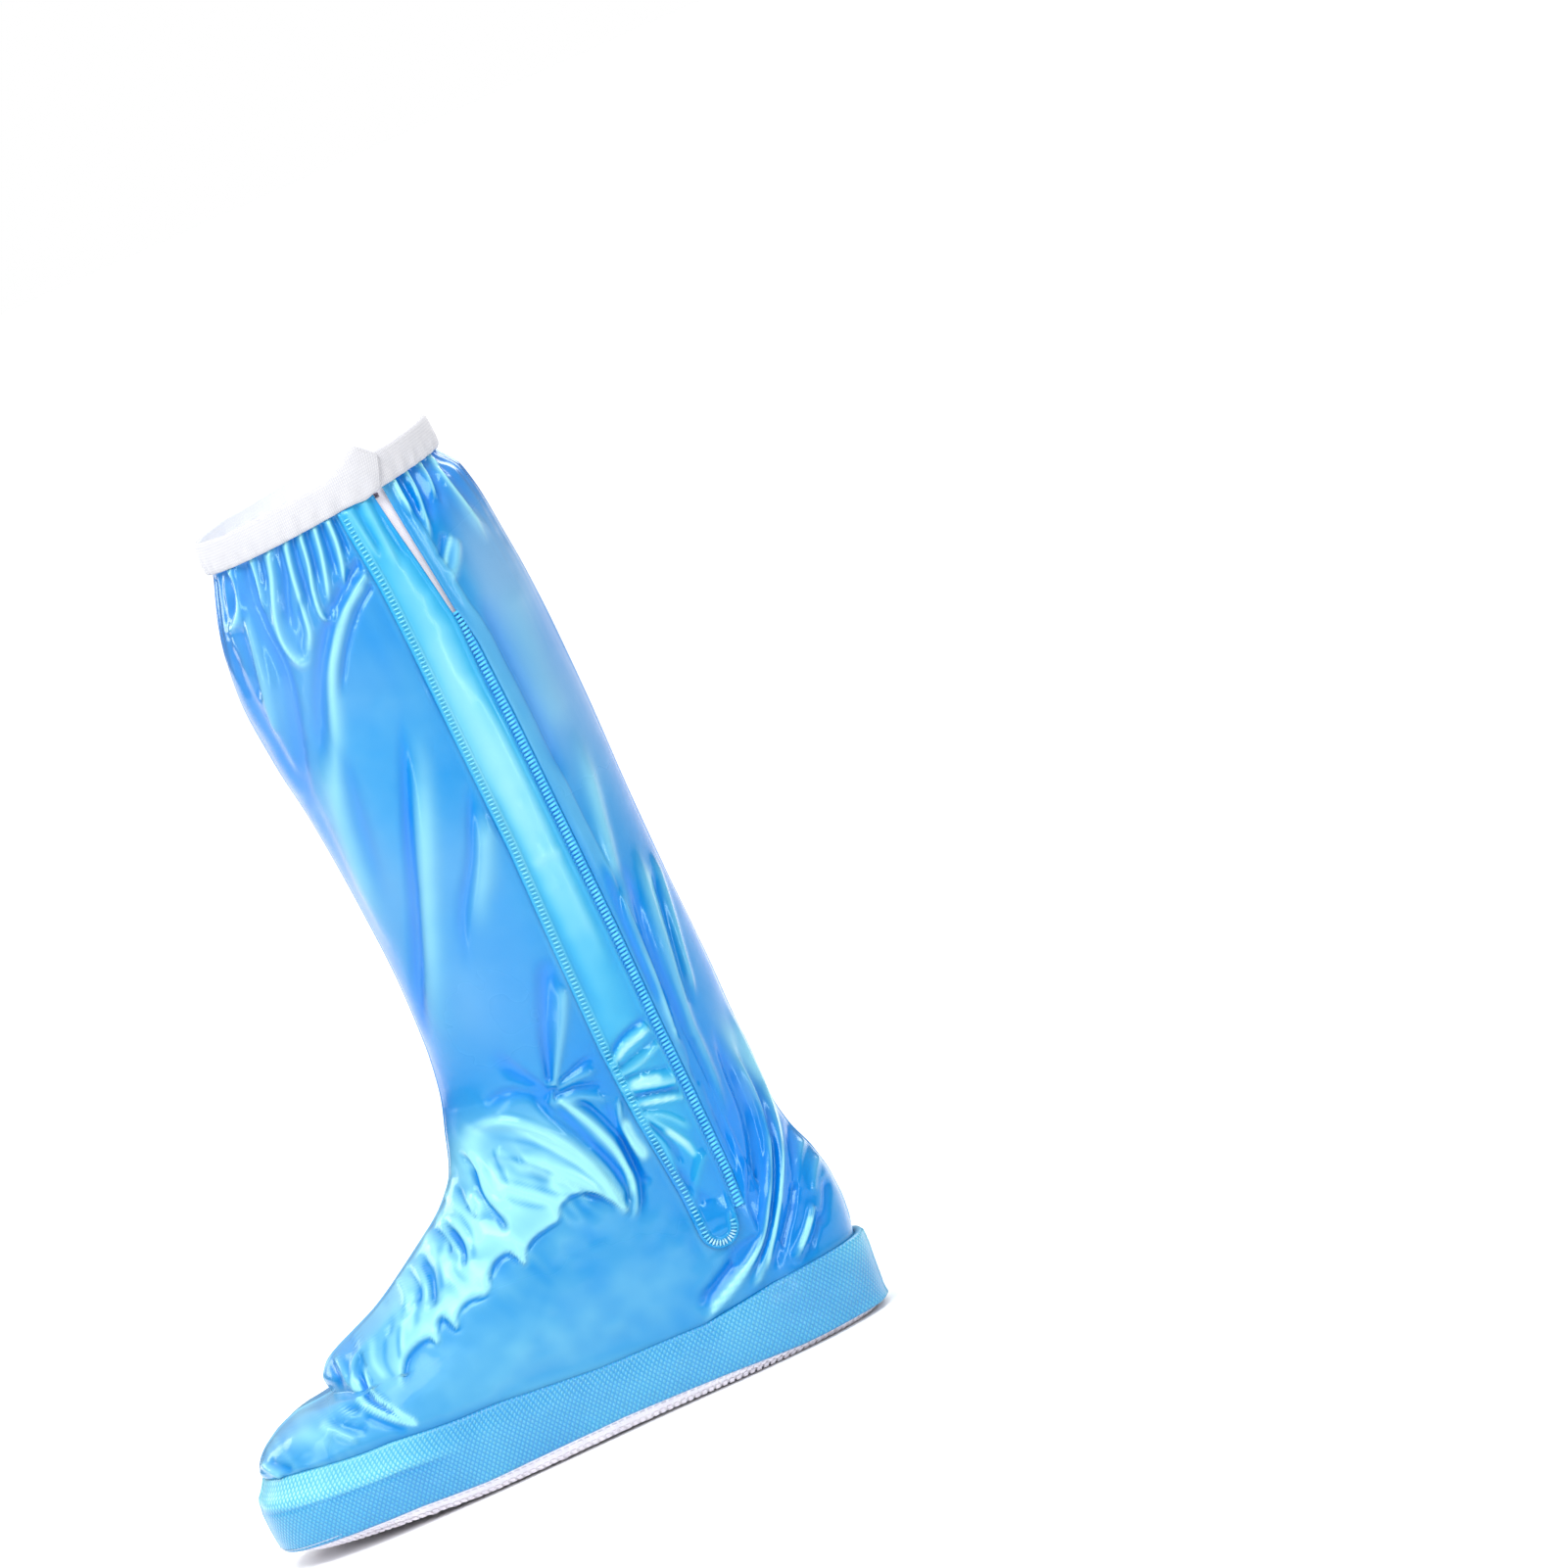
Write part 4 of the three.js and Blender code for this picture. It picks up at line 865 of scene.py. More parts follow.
def welt_material():
    s = Shader("embossed_film", 0.3, Specular_IOR_Level=0.7, Coat_Weight=0.2, Coat_Roughness=0.15)
    uv = s.node("ShaderNodeTexCoord").outputs["UV"]
    waves = []
    for turned in (38, -38):
        place = s.node("ShaderNodeMapping", Rotation=(0, 0, math.radians(turned)))
        s.link(uv, place.inputs["Vector"])
        waves.append(s.waves(place.outputs["Vector"], "X", 1.78))
    mesh = s.mix("MULTIPLY", 1.0, *waves)
    # colour from the tone attribute, which holds painted light and shade
    colour = s.ramp(s.attribute("tone_and_painted_light"), [
        (0.0, linear(30, 136, 196)), (0.5, linear(90, 184, 214)), (1.0, linear(158, 226, 226))])
    dots = s.ramp(mesh, [(0.0, (0.2, 0.62, 0.86, 1)), (0.5, WHITE)])
    colour = s.mix("MULTIPLY", 1.0, colour, dots)
    cloud = s.ramp(s.noise(16.0), [(0.3, (0.76, 0.9, 0.97, 1)), (0.7, WHITE)])
    colour = s.mix("MULTIPLY", 1.0, colour, cloud)
    return s.finish(colour, s.bump(mesh, 0.9, 0.0005))


def woven_material(name, colour, dark, pitch_u, pitch_v, roughness=0.8, painted_glow=0.0):
    # the glow is emission, painted light in the fabric
    s = Shader(name, roughness, Specular_IOR_Level=0.3, Sheen_Weight=0.25, Sheen_Roughness=0.5,
               Emission_Color=WHITE, Emission_Strength=painted_glow)
    uv = s.node("ShaderNodeTexCoord").outputs["UV"]
    weave = s.mix("MULTIPLY", 0.7, s.waves(uv, "X", pitch_u), s.waves(uv, "Y", pitch_v))
    tint = s.ramp(weave, [(0.0, dark), (0.7, colour)])
    spots = s.ramp(s.noise(120.0), [(0.3, (0.97, 0.975, 0.985, 1)), (0.7, WHITE)])
    return s.finish(s.mix("MULTIPLY", 1.0, tint, spots), s.bump(weave, 0.25, 0.0003))


def plain_material(name, colour, dark, roughness, scale=200.0, **sockets):
    s = Shader(name, roughness, **sockets)
    grain = s.noise(scale)
    return s.finish(s.ramp(grain, [(0.25, dark), (0.75, colour)]), s.bump(grain, 0.15, 0.0003))


FILM = film_material("vinyl_film", linear(0, 118, 206), linear(52, 139, 194), linear(142, 208, 218))
FLAP = film_material("flap_film", linear(6, 124, 198), linear(70, 166, 204), linear(150, 208, 218))
WELT = welt_material()
ELASTIC = woven_material("white_elastic", linear(202, 202, 205), linear(184, 184, 190), 0.9, 1.3)
# the band's lining glows: painted light that keeps it white inside the mouth
GLOWING_LINING = woven_material("white_elastic_inside_glowing", linear(225, 228, 234), linear(205, 208, 216), 0.9, 1.3, 0.8, 0.42)
# the tape glows a little: painted light on the tape where it lies in shade
GLOWING_TAPE = woven_material("zip_tape", linear(232, 230, 236), linear(205, 200, 210), 0.5, 0.7, 0.8, 0.1)
TEETH = plain_material("coil_teeth", linear(96, 206, 250), linear(60, 184, 244), 0.35, Specular_IOR_Level=0.5)
BED = plain_material("coil_bed", linear(58, 180, 244), linear(36, 160, 236), 0.4, Specular_IOR_Level=0.5)
THREAD = plain_material("thread", linear(120, 206, 232), linear(84, 184, 222), 0.45)
PALE_THREAD = plain_material("pale_thread", linear(186, 220, 232), linear(124, 200, 228), 0.4)
STOP = plain_material("dull_metal", linear(120, 112, 128), linear(80, 74, 88), 0.35, Metallic=0.7)
SOLE = plain_material("white_vinyl", linear(252, 250, 254), linear(240, 236, 244), 0.55, 90.0)
BLOCKS = plain_material("tread_vinyl", linear(246, 241, 248), linear(228, 222, 232), 0.6, 90.0)


def add(obj, node):
    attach(obj, "root")
    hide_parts(node)
    return obj


def film_panel(name, columns, keep=None):
    """A single layer of film from some columns of the closed grid."""
    faces = grid_faces(R, len(columns), keep=keep)
    return add(new_mesh(name, film[:, columns].reshape(-1, 3), faces, FILM, tones_and_painted_light=tone_and_painted_light[:, columns],
                        glosses=gloss[:, columns], painted_sheens=painted_sheen[:, columns]), "upper_film")


# ---- film panels ----
cut = np.ones((R - 1, ZIP_COLUMNS), bool)
slit_rows = z_all[:-1, SLIT_COLUMNS[0]] >= SLIT_FOOT
cut[slit_rows, SLIT_COLUMNS[0]:SLIT_COLUMNS[1]] = False
film_zip_side = film_panel("film_zip_side", np.arange(ZIP_COLUMNS + 1), cut)
film_plain_side = film_panel("film_plain_side", np.r_[ZIP_COLUMNS:C, 0])

# ---- flap beside the zip ----
FLAP_FOLDS = [
    fold([(222, 142), (232, 139.5), (247, 135)], (1.6, 2.2), 2.2, 0.3, (0.05, 0.02)),
    fold([(223, 133.5), (234, 131), (247, 126.5)], (1.2, 1.6), 1.9, 0.3, (0.05, 0.02)),
    fold([(223, 137), (234, 135), (247, 130.5)], 0.9, -2.0, 0, (0.06, 0.02)),
    fold([(223, 146), (234, 145.5), (247, 142)], 0.9, -1.7, 0, (0.06, 0.02)),
    fold([(227, 128.5), (234, 119), (240, 107), (243, 100)], (1.0, 2.2), 1.7, 0, (0.03, 0.3)),
    fold([(226.5, 126), (230.5, 112), (231, 96)], (0.9, 1.6), 1.3, 0, (0.03, 0.3)),
    fold([(229, 127.5), (238, 121), (246, 110)], (1.0, 2.2), 1.3, 0, (0.03, 0.3)),
    fold([(228, 123), (233.5, 112), (235.5, 98)], 1.2, -1.4, 0, (0.05, 0.3)),
    fold([(222, 155), (230, 162), (238, 165.5), (247, 167)], 1.2, -2.2, 0, (0.04, 0.02)),
    fold([(223, 152.5), (232, 158.5), (246, 162)], (1.4, 2.0), 1.8, 0.2, (0.04, 0.02)),
    fold([(222, 148), (234, 149), (247, 153)], 1.2, 1.5, 0, (0.04, 0.02)),
    fold([(224, 151), (234, 153.5), (247, 157)], 0.9, -1.4, 0, (0.1, 0.02)),
    fold([(224, 122), (228, 108), (228, 92)], 1.3, -1.2, 0, (0.05, 0.3)),
    fold([(232, 80), (238, 91), (247, 101)], 2.2, 0.9),
    fold([(231, 100), (234, 88), (240, 76)], 2.6, -0.7),
    fold([(226, 300), (228, 250), (228, 200), (230, 172)], 3.0, -0.5),
    fold([(238, 340), (240, 290), (240, 240), (241, 190)], 2.6, 0.6),
    fold([(228, 250), (236, 252), (244, 250)], 3.0, 0.4),
    fold([(219, 427), (221, 415), (223, 400)], 1.4, 0.9, 0, TOP),
    fold([(223, 428), (224, 416), (226, 402)], 1.3, -0.9, 0, TOP),
    fold([(227, 428), (228, 414), (229, 392)], 1.6, 0.9, 0, TOP),
    fold([(231, 428), (232, 414), (234, 396)], 1.3, -0.7, 0, TOP),
]


def flap_free_edge(z):
    return zip_line(2, z) + np.interp(z, [57, 335, 367, 400, 430], [-2.8, -2.8, -1.3, -1.9, -2.7])


def flap_edges(z):
    left, right = zip_line(1, z), flap_free_edge(z)
    middle, full = (left + right) / 2, (right - left) / 2
    t = np.clip((z - FLAP_FOOT) / full, 0.0, 1)
    half = full * np.sqrt(np.maximum(1 - (1 - t) ** 2, 0.0004))
    return middle - half, middle + half


FLAP_HEAD = 428.4
flap_z = np.concatenate([FLAP_FOOT + 13 * (1 - np.cos(np.linspace(0, math.pi / 2, 26)[:-1])),
                         np.linspace(FLAP_FOOT + 13, FLAP_HEAD, 300)])
flap_l, flap_r = flap_edges(flap_z)
share = (1 - np.cos(np.linspace(0, math.pi, 45))) / 2 * 0.5 + np.linspace(0, 1, 45) * 0.5
flap_x = flap_l[:, None] + (flap_r - flap_l)[:, None] * share[None]
flap_zz = np.broadcast_to(flap_z[:, None], flap_x.shape)
fold_edge = np.concatenate([
    np.stack([flap_l, flap_z], -1)[::-1],
    np.stack([flap_r, flap_z], -1)[(flap_z > FLAP_FOOT + 0.3) & (flap_z < 68)]])
flap_base, flap_normal = zip_surface(flap_x, flap_zz)
flap_xz = np.stack([flap_x, flap_zz], -1).reshape(-1, 2)
edge_distance = np.abs(to_line(fold_edge[::3], flap_xz)[0]).reshape(flap_x.shape)
inside = smooth(4.0, 8.0, edge_distance)
flap_lift = fold_relief(FLAP_FOLDS, flap_xz).reshape(flap_x.shape)
flap_lift *= 0.35 + 0.65 * smooth(3.6, 5.2, edge_distance)
crown = np.clip((flap_x - flap_l[:, None]) / np.maximum(flap_r - flap_l, 1)[:, None], 0, 1)
flap_lift += 0.7 * np.sin(math.pi * crown) * smooth(57, 90, flap_zz)
flap_lift += 0.12 * (lattice_noise(flap_x, flap_zz, 7, 5) + lattice_noise(flap_x, flap_zz, 17, 6)) * inside
border = 0.45 * smooth(0, 0.6, edge_distance) * (1 - smooth(4.2, 5.0, edge_distance))
piping = 0.35 * (bell((edge_distance - 0.9) / 0.45) + bell((edge_distance - 4.1) / 0.45))
flap_lift += border + piping
flap_lift += 0.35 * bell((flap_x - flap_r[:, None] + 1.0) / 0.7)
flap_lift = np.maximum(flap_lift, -0.2)
flap_lift = np.minimum(flap_lift, -0.5 + 1.1 * np.maximum(0, below_mouth(flap_x, flap_zz)))
flap_top = flap_base + flap_normal * (CLEAR + 1.0 + flap_lift)[..., None]
flap_bottom = flap_base + flap_normal * (CLEAR + np.minimum(flap_lift * 0.6, 1.0) * inside)[..., None]
points, faces = closed_sheet(flap_top, flap_bottom)
# painted highlight: a broad bright band down the middle of the flap
painted_glow = bell((flap_zz - 300) / 95)
FLAP_PAINTED_LIGHT_STROKES = [
    fold([(225, 142.5), (234, 141.5), (243, 139)], 1.5, 0.7, 0, (0.2, 0.2)),
    fold([(225, 137), (234, 135.5), (246, 132)], 0.9, -0.5),
    fold([(226, 132.5), (235, 130.5), (245, 128)], 0.9, 0.6),
    fold([(233, 118), (239, 108), (242, 98)], 1.6, 0.5),
    fold([(223, 155), (231, 162), (238, 165), (247, 167)], 0.9, -0.5),
    fold([(225, 152.5), (233, 158.5), (245, 161.5)], 1.1, 0.6),
    fold([(229, 118), (230, 100), (230, 80)], 1.6, -0.35),
    fold([(226, 106), (227, 96)], 1.2, 0.4),
]
# flap tone: painted highlights and shade from the strokes and the relief, the painted highlight band, and a darker
# band near z 85
flap_tone_and_painted_light = fold_relief(FLAP_PAINTED_LIGHT_STROKES, flap_xz, NO_LIMIT).reshape(flap_x.shape) * inside
flap_tone_and_painted_light = np.clip(flap_tone_and_painted_light + 0.4 + 0.17 * (flap_lift - 0.8) + 0.38 * painted_glow * np.sin(math.pi * crown)
                    - 0.22 * bell((flap_zz - 85) / 26), 0, 1)
flap_gloss = 0.95 - 0.4 * smooth(150, 220, flap_zz)
flap = add(new_mesh("flap_film", points, faces, FLAP, tones_and_painted_light=np.concatenate([flap_tone_and_painted_light.ravel()] * 2),
                    glosses=np.concatenate([flap_gloss.ravel()] * 2)), "zip_flap")


def capsules(a, b, radius, up, rise, sides=7, rings=5):
    """Short bent threads between pairs of points, as one mesh."""
    length = np.linalg.norm(b - a, axis=1, keepdims=True)
    along = (b - a) / length
    side = unit(np.cross(along, up))
    top = np.cross(side, along)
    points, faces = [], []
    t = np.linspace(0, 1, rings)
    bulge = np.sqrt(np.maximum(0, 1 - (2 * t - 1) ** 4)) * 0.92 + 0.08
    spin = np.linspace(0, 2 * math.pi, sides, endpoint=False)
    for k in range(rings):
        centre = a + along * length * t[k] + up * (rise * math.sin(math.pi * t[k]))
        for w in spin:
            points.append(centre + radius * bulge[k] * (side * math.cos(w) + top * math.sin(w)))
    count, per = len(a), rings * sides
    points = np.array(points).transpose(1, 0, 2).reshape(-1, 3)
    for k in range(rings - 1):
        for j in range(sides):
            n = (j + 1) % sides
            faces.append((k * sides + j, k * sides + n, (k + 1) * sides + n, (k + 1) * sides + j))
    caps = [tuple(range(sides))[::-1], tuple((rings - 1) * sides + j for j in range(sides))]
    all_faces = [tuple(v + i * per for v in f) for i in range(count) for f in faces + caps]
    return points, all_faces


def evenly(line, step):
    """Points and directions at even steps along a line in the (x, z) plane."""
    d = np.linalg.norm(np.diff(line, axis=0), axis=1)
    run = np.concatenate([[0], np.cumsum(d)])
    at = np.arange(step / 2, run[-1], step)

    def place(shift):
        return np.stack([np.interp(at + shift, run, line[:, k]) for k in (0, 1)], -1)

    return place(0), unit(place(0.5) - place(-0.5))


# one stitch every 2 mm crosses the hem, from 0.9 to 4.1 mm inside the flap's edge
centre, direction = evenly(fold_edge[fold_edge[:, 1] < 424], 2.0)
inward = np.stack([-direction[:, 1], direction[:, 0]], -1)
point_a, out_a = zip_surface(*(centre + inward * 0.9).T)
point_b, out_b = zip_surface(*(centre + inward * 4.1).T)
low_end = centre[:, 1] < 61.5
for name, chosen, material in (("flap_stitches", ~low_end, THREAD), ("foot_stitches", low_end, PALE_THREAD)):
    points, faces = capsules((point_a + out_a * 2.0)[chosen], (point_b + out_b * 2.35)[chosen], 0.42,
                             ((out_a + out_b) / 2)[chosen], 0.3)
    add(new_mesh(name, points, faces, material), "zip_flap")

# ---- zip: tape, coil teeth and stop ----
tape_z = np.linspace(61.2, 434.4, 190)
tape_x = zip_line(2, tape_z)[:, None] + np.linspace(-10, 10, 13)[None]
tape_zz = np.broadcast_to(tape_z[:, None], tape_x.shape)
tape_base, tape_normal = zip_surface(tape_x, tape_zz)
points, faces = closed_sheet(tape_base - 1.5 * tape_normal, tape_base - 2.3 * tape_normal)
tape_uv = np.stack([tape_x - zip_line(2, tape_z)[:, None], tape_zz], -1).reshape(-1, 2) * UV_PER_MM
tape = add(new_mesh("woven_tape", points, faces, GLOWING_TAPE, uv=np.concatenate([tape_uv] * 2)), "zip_tape")

teeth_z = np.arange(71.6, CHAIN_HEAD, 1.95)
teeth_x = zip_line(2, teeth_z) + 0.25
point_a, out_a = zip_surface(teeth_x - 2.3, teeth_z - 0.35)
point_b, out_b = zip_surface(teeth_x + 2.3, teeth_z + 0.35)
points, faces = capsules(point_a - out_a * 0.35, point_b - out_b * 0.35, 0.62, (out_a + out_b) / 2, 0.75, 8, 7)
add(new_mesh("zip_teeth", points, faces, TEETH), "zip_chain")
bed_z = np.linspace(SLIT_FOOT + 0.4, CHAIN_HEAD, 200)
bed_across = np.linspace(-3.5, 3.5, 11)
bed_x = zip_line(2, bed_z)[:, None] + bed_across[None]
bed_base, bed_normal = zip_surface(bed_x, np.broadcast_to(bed_z[:, None], bed_x.shape))
cord = 0.5 * bell((np.abs(bed_across) - 2.4) / 0.5)[None, :, None]
points, faces = closed_sheet(bed_base + bed_normal * (cord - 0.75), bed_base - bed_normal * 1.3)
add(new_mesh("zip_bed", points, faces, BED), "zip_chain")

low, high = (np.array(v) / METRES_PER_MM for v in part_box("zip_stop"))
stop_x = np.full(2, (low[0] + high[0]) / 2 + LENGTH / 2)
stop_z = (low[2] + high[2]) / 2 + np.array([-0.55, 0.55])
point_a, out_a = zip_surface(stop_x - 2.0, stop_z)
point_b, out_b = zip_surface(stop_x + 0.2, stop_z)
points, faces = capsules(point_a - out_a * 0.6, point_b - out_b * 0.6, 0.6, out_a, 0.5, 12, 9)
add(new_mesh("stop_crimp", points, faces, STOP), "zip_stop")

# ---- elastic band ----
mouth_front, mouth_back = params(MOUTH)[:2]
seam = float(on_zip_side(zip_line(2, FILM_HEIGHT), FILM_HEIGHT)[1])
per_mm = 2 / ((mouth_back - mouth_front) * LENGTH)
start = seam - BAND_LAP * per_mm / 2
whole = 2 * math.pi + BAND_LAP * per_mm
band_columns, band_rows = 520, 15
place = np.linspace(0, 1, band_columns)
up_share = np.linspace(0, 1, band_rows)
left = whole * (1 - place)[None] / per_mm
lapped = 1 - smooth(BAND_LAP, BAND_LAP + 14, left)
peak = np.interp(left, [0, 2, 5, 7, 8.2, 9.5, 13, 18, 24, 34],
                 [-1.4, 1.0, 4.4, 6.8, BAND_PEAK + 0.3, 6.6, 4.2, 1.4, -0.5, 0])
slant = 5.5 * per_mm * bell(left / 9)
band_angle = start + whole * place[None] + slant * (up_share[:, None] - 0.6)
band_base = skin(np.full(band_angle.shape, MOUTH), band_angle)
band_normal = skin_normal(np.full(band_angle.shape, MOUTH), band_angle)
ruffle = 0.5 * np.cos(38 * band_angle + 1.2 * np.sin(5 * band_angle)) * (1 - smooth(0.1, 0.7, up_share))[:, None]
bow = 0.6 * np.sin(math.pi * up_share)[:, None]
wobble = 0.5 * np.sin(7 * band_angle) + 0.3 * np.sin(15 * band_angle + 1)
offset = CLEAR + 0.55 + lapped * (BAND_WALL + CLEAR) + ruffle + bow + 0.35 * wobble
band_z = (up_share[:, None] * (BAND_HEIGHT + peak)) + 0.4 * wobble * up_share[:, None]
band_z -= 1.1 * bell((left - 10) / 5) * (1 - up_share[:, None])
outer = band_base + band_normal * (offset + BAND_WALL)[..., None]
inner = band_base + band_normal * offset[..., None]
outer[..., 2] += band_z
inner[..., 2] += band_z
rounded = 0.5 * (bell(up_share / 0.04) + bell((1 - up_share) / 0.04))[:, None, None]
outer -= band_normal * rounded
points, faces = closed_sheet(outer, inner)
band_uv = np.stack([np.broadcast_to(place[None] * whole / per_mm, band_z.shape), band_z], -1)
band_uv = band_uv.reshape(-1, 2) * UV_PER_MM
band = new_mesh("elastic_band", points, faces, ELASTIC, uv=np.concatenate([band_uv] * 2))
add(band, "top_band")
band.data.materials.append(GLOWING_LINING)
inside_face = np.zeros(len(band.data.polygons), np.int32)
side_faces = (band_rows - 1) * (band_columns - 1)
inside_face[side_faces:2 * side_faces] = 1
band.data.polygons.foreach_set("material_index", inside_face)

# ---- welt ----
welt_columns = 560
angle = 2 * math.pi * np.arange(welt_columns) / welt_columns
levels = np.linspace(1, 4, 46)


def low_skin(level, angle):
    k = np.arange(5.0)
    p = [float(pchip(k, WELT_SECTIONS[:, c], np.array([level]))[0]) for c in range(1, 7)]
    reach = float(np.interp(level, k, WELT_SECTIONS[:, 0]))

    def height(along, u):
        if reach < 0:
            return -reach * underside(along) + (1 + reach) * welt_edge(1, along)
        return (1 - reach) * welt_edge(1, along) + reach * welt_edge(2, along)

    return section((p[0], p[1], p[2] * BALL_WIDTH, p[3], p[4], p[5], WAIST[0]), angle, height)


skin_rows = np.array([low_skin(v, angle) for v in levels])
w_normal = grid_normals(skin_rows)
w_x, w_z = skin_rows[..., 0] + LENGTH / 2, skin_rows[..., 2]
w_share = np.broadcast_to(((levels - 1) / 3)[:, None], w_x.shape)
arc = np.concatenate([[0], np.cumsum(np.linalg.norm(np.diff(skin_rows[20], axis=0), axis=1))])
crease = 0.72 - 0.1 * np.sin(w_x / 60)
toe_half = 1 - smooth(60, 100, w_x)
w_lift = 0.7 * toe_half * bell((w_share - crease - 0.08) / 0.06)
w_lift -= 0.5 * toe_half * bell((w_share - crease + 0.03) / 0.035)
w_lift += 0.5 * lattice_noise(w_x + 40 * (skin_rows[..., 1] > 0), w_z, 26, 8)
w_lift += 0.25 * lattice_noise(w_x, w_z + 90 * (skin_rows[..., 1] > 0), 9, 9)
w_lift += 0.35 * np.cos(arc[None] * 2 * math.pi / 2.6) * bell((w_share - 0.03) / 0.03)
w_lift -= 1.2 * (bell(w_share / 0.02) + bell((1 - w_share) / 0.02))
heel = smooth(272, 293, w_x)
w_lift += heel * (1.6 * smooth(0.6, 1.0, w_share) + 1.2 * (1 - smooth(0, 0.2, w_share)))
w_lift += bell(skin_rows[..., 1] / 0.9)
w_outer = skin_rows + w_normal * (CLEAR + WELT_WALL + w_lift * 0.8)[..., None]
w_outer[..., 2] += 1.8 * smooth(0.8, 1, w_share) * (1 - smooth(20, 60, w_x))
w_inner = skin_rows + w_normal * CLEAR
points, faces = closed_sheet(w_outer, w_inner, closed=True)
w_uv = np.stack([np.broadcast_to(arc[None], w_x.shape), w_z], -1).reshape(-1, 2) * UV_PER_MM
# painted highlight on the welt's upper strip at the toe, and painted light and shade from the welt's relief
painted_toe_highlight = toe_half * smooth(-0.02, 0.02, w_share - crease)
welt_tone_and_painted_light = np.clip(0.42 + 0.42 * painted_toe_highlight + 0.12 * w_lift, 0, 1).ravel()
add(new_mesh("welt_film", points, faces, WELT, uv=np.concatenate([w_uv] * 2),
             tones_and_painted_light=np.concatenate([welt_tone_and_painted_light] * 2)), "welt")

# ---- sole and its tread ----
sole_columns = 420
angle = 2 * math.pi * np.arange(sole_columns) / sole_columns
ground = low_skin(0.0, angle)
foot_ring = low_skin(1.0, angle)
rings = []
# share of the way up the sole's side, way outward and way up
SOLE_RINGS = [(0, -3, 1), (0, -0.6, 1), (0.08, -0.1, 1.2), (0.3, 0, 0.9), (0.6, 0, 0.5), (1, 0, 0), (1.4, -0.3, 0)]
for t, out, rise in SOLE_RINGS:
    ring = ground + (foot_ring - ground) * t
    ring[:, :2] += unit(ring[:, :2]) * out
    ring[:, 2] += rise
    rings.append(ring)
inside_ring = rings[-1].copy()
inside_ring[:, :2] *= 0.96
floor_ring = inside_ring.copy()
floor_ring[:, 2] = underside(floor_ring[:, 0] / LENGTH + 0.5) + 4
rings += [inside_ring, floor_ring]
count = len(rings)
points = np.concatenate(rings)
faces = grid_faces(count, sole_columns, closed=True).tolist()
half = sole_columns // 2
for base_index, flip in ((0, -1), ((count - 1) * sole_columns, 1)):
    for j in range(half):
        corners = [j, j + 1, (sole_columns - j - 1) % sole_columns, (sole_columns - j) % sole_columns]
        corners = [c for i, c in enumerate(corners) if c not in corners[:i]]
        faces.append([base_index + c for c in corners][::flip])
add(new_mesh("sole", points, faces, SOLE), "outsole")


def blocks(studs, depth):
    """Small square studs with bevelled faces, as one mesh."""
    shape = [(a, b, out, size) for out, size in ((0, 1), (0.75, 0.94), (1, 0.74))
             for a, b in ((-1, -1), (1, -1), (1, 1), (-1, 1))]
    faces = [(3, 2, 1, 0), (8, 9, 10, 11)]
    for k in (0, 4):
        for j in range(4):
            n = (j + 1) % 4
            faces.append((k + j, k + n, k + n + 4, k + j + 4))
    points = []
    for c, t, o, u, w, h in studs:
        for a, b, d, size in shape:
            points.append(c + t * (a * size * w / 2) + u * (b * size * h / 2) + o * (d * depth - 0.25))
    return np.array(points), [tuple(v + i * len(shape) for v in f) for i in range(len(studs)) for f in faces]


run = np.concatenate([[0], np.cumsum(np.linalg.norm(np.diff(np.vstack([ground, ground[:1]]), axis=0), axis=1))])
at = np.arange(0, run[-1] - 2, 3.3)


def wrap(values):
    return np.stack([np.interp(at, run, np.append(values[:, k], values[0, k])) for k in range(3)], -1)


low_line, high_line = wrap(ground), wrap(foot_ring)
tangent = unit(np.roll(low_line, -1, 0) - np.roll(low_line, 1, 0))
tall = np.linalg.norm(high_line - low_line, axis=1)
up_line = unit(high_line - low_line)
out_line = unit(np.cross(tangent, up_line))
# two staggered rows of blocks on the sole's side where it is taller than TWO_ROWS, else one
TWO_ROWS = 4.2
studs = []
for place_at, need, shift in ((0.3, 2.0, 0.0), (0.72, TWO_ROWS, 1.6)):
    for i in np.flatnonzero(tall >= need):
        double = tall[i] > TWO_ROWS
        centre = low_line[i] + up_line[i] * (tall[i] * (place_at if double else 0.5)) + tangent[i] * shift
        height = min(2.1, tall[i] * (0.36 if double else 0.55))
        studs.append((centre, tangent[i], out_line[i], up_line[i], 2.3, height))
points_a, faces_a = blocks(studs, 0.8)
# staggered rows of blocks under the sole
BLOCK_PITCH = 5.2
BLOCK_SIZE = 3.6
outline = low_skin(0.0, np.linspace(0.02, math.pi - 0.02, 200))
studs = []
for row, x in enumerate(np.arange(14, 284, BLOCK_PITCH)):
    reach = np.interp(x - LENGTH / 2, outline[:, 0], -outline[:, 1])
    z = underside(x / LENGTH) + 1.0
    slope = (underside((x + 1) / LENGTH) - underside((x - 1) / LENGTH)) / 2
    for y in np.arange(-49, 50, BLOCK_PITCH) + BLOCK_PITCH / 2 * (row % 2):
        if abs(y) <= reach - 4:
            studs.append((np.array([x - LENGTH / 2, y, z]), unit(np.array([1, 0, slope])),
                          unit(np.array([slope, 0, -1])), np.array([0, 1.0, 0]), BLOCK_SIZE, BLOCK_SIZE))
points_b, faces_b = blocks(studs, 1.2)
tread_faces = faces_a + [tuple(v + len(points_a) for v in f) for f in faces_b]
tread = new_mesh("tread_blocks", np.concatenate([points_a, points_b]), tread_faces, BLOCKS)
tread.data.polygons.foreach_set("use_smooth", np.zeros(len(tread.data.polygons), bool))
add(tread, "outsole")

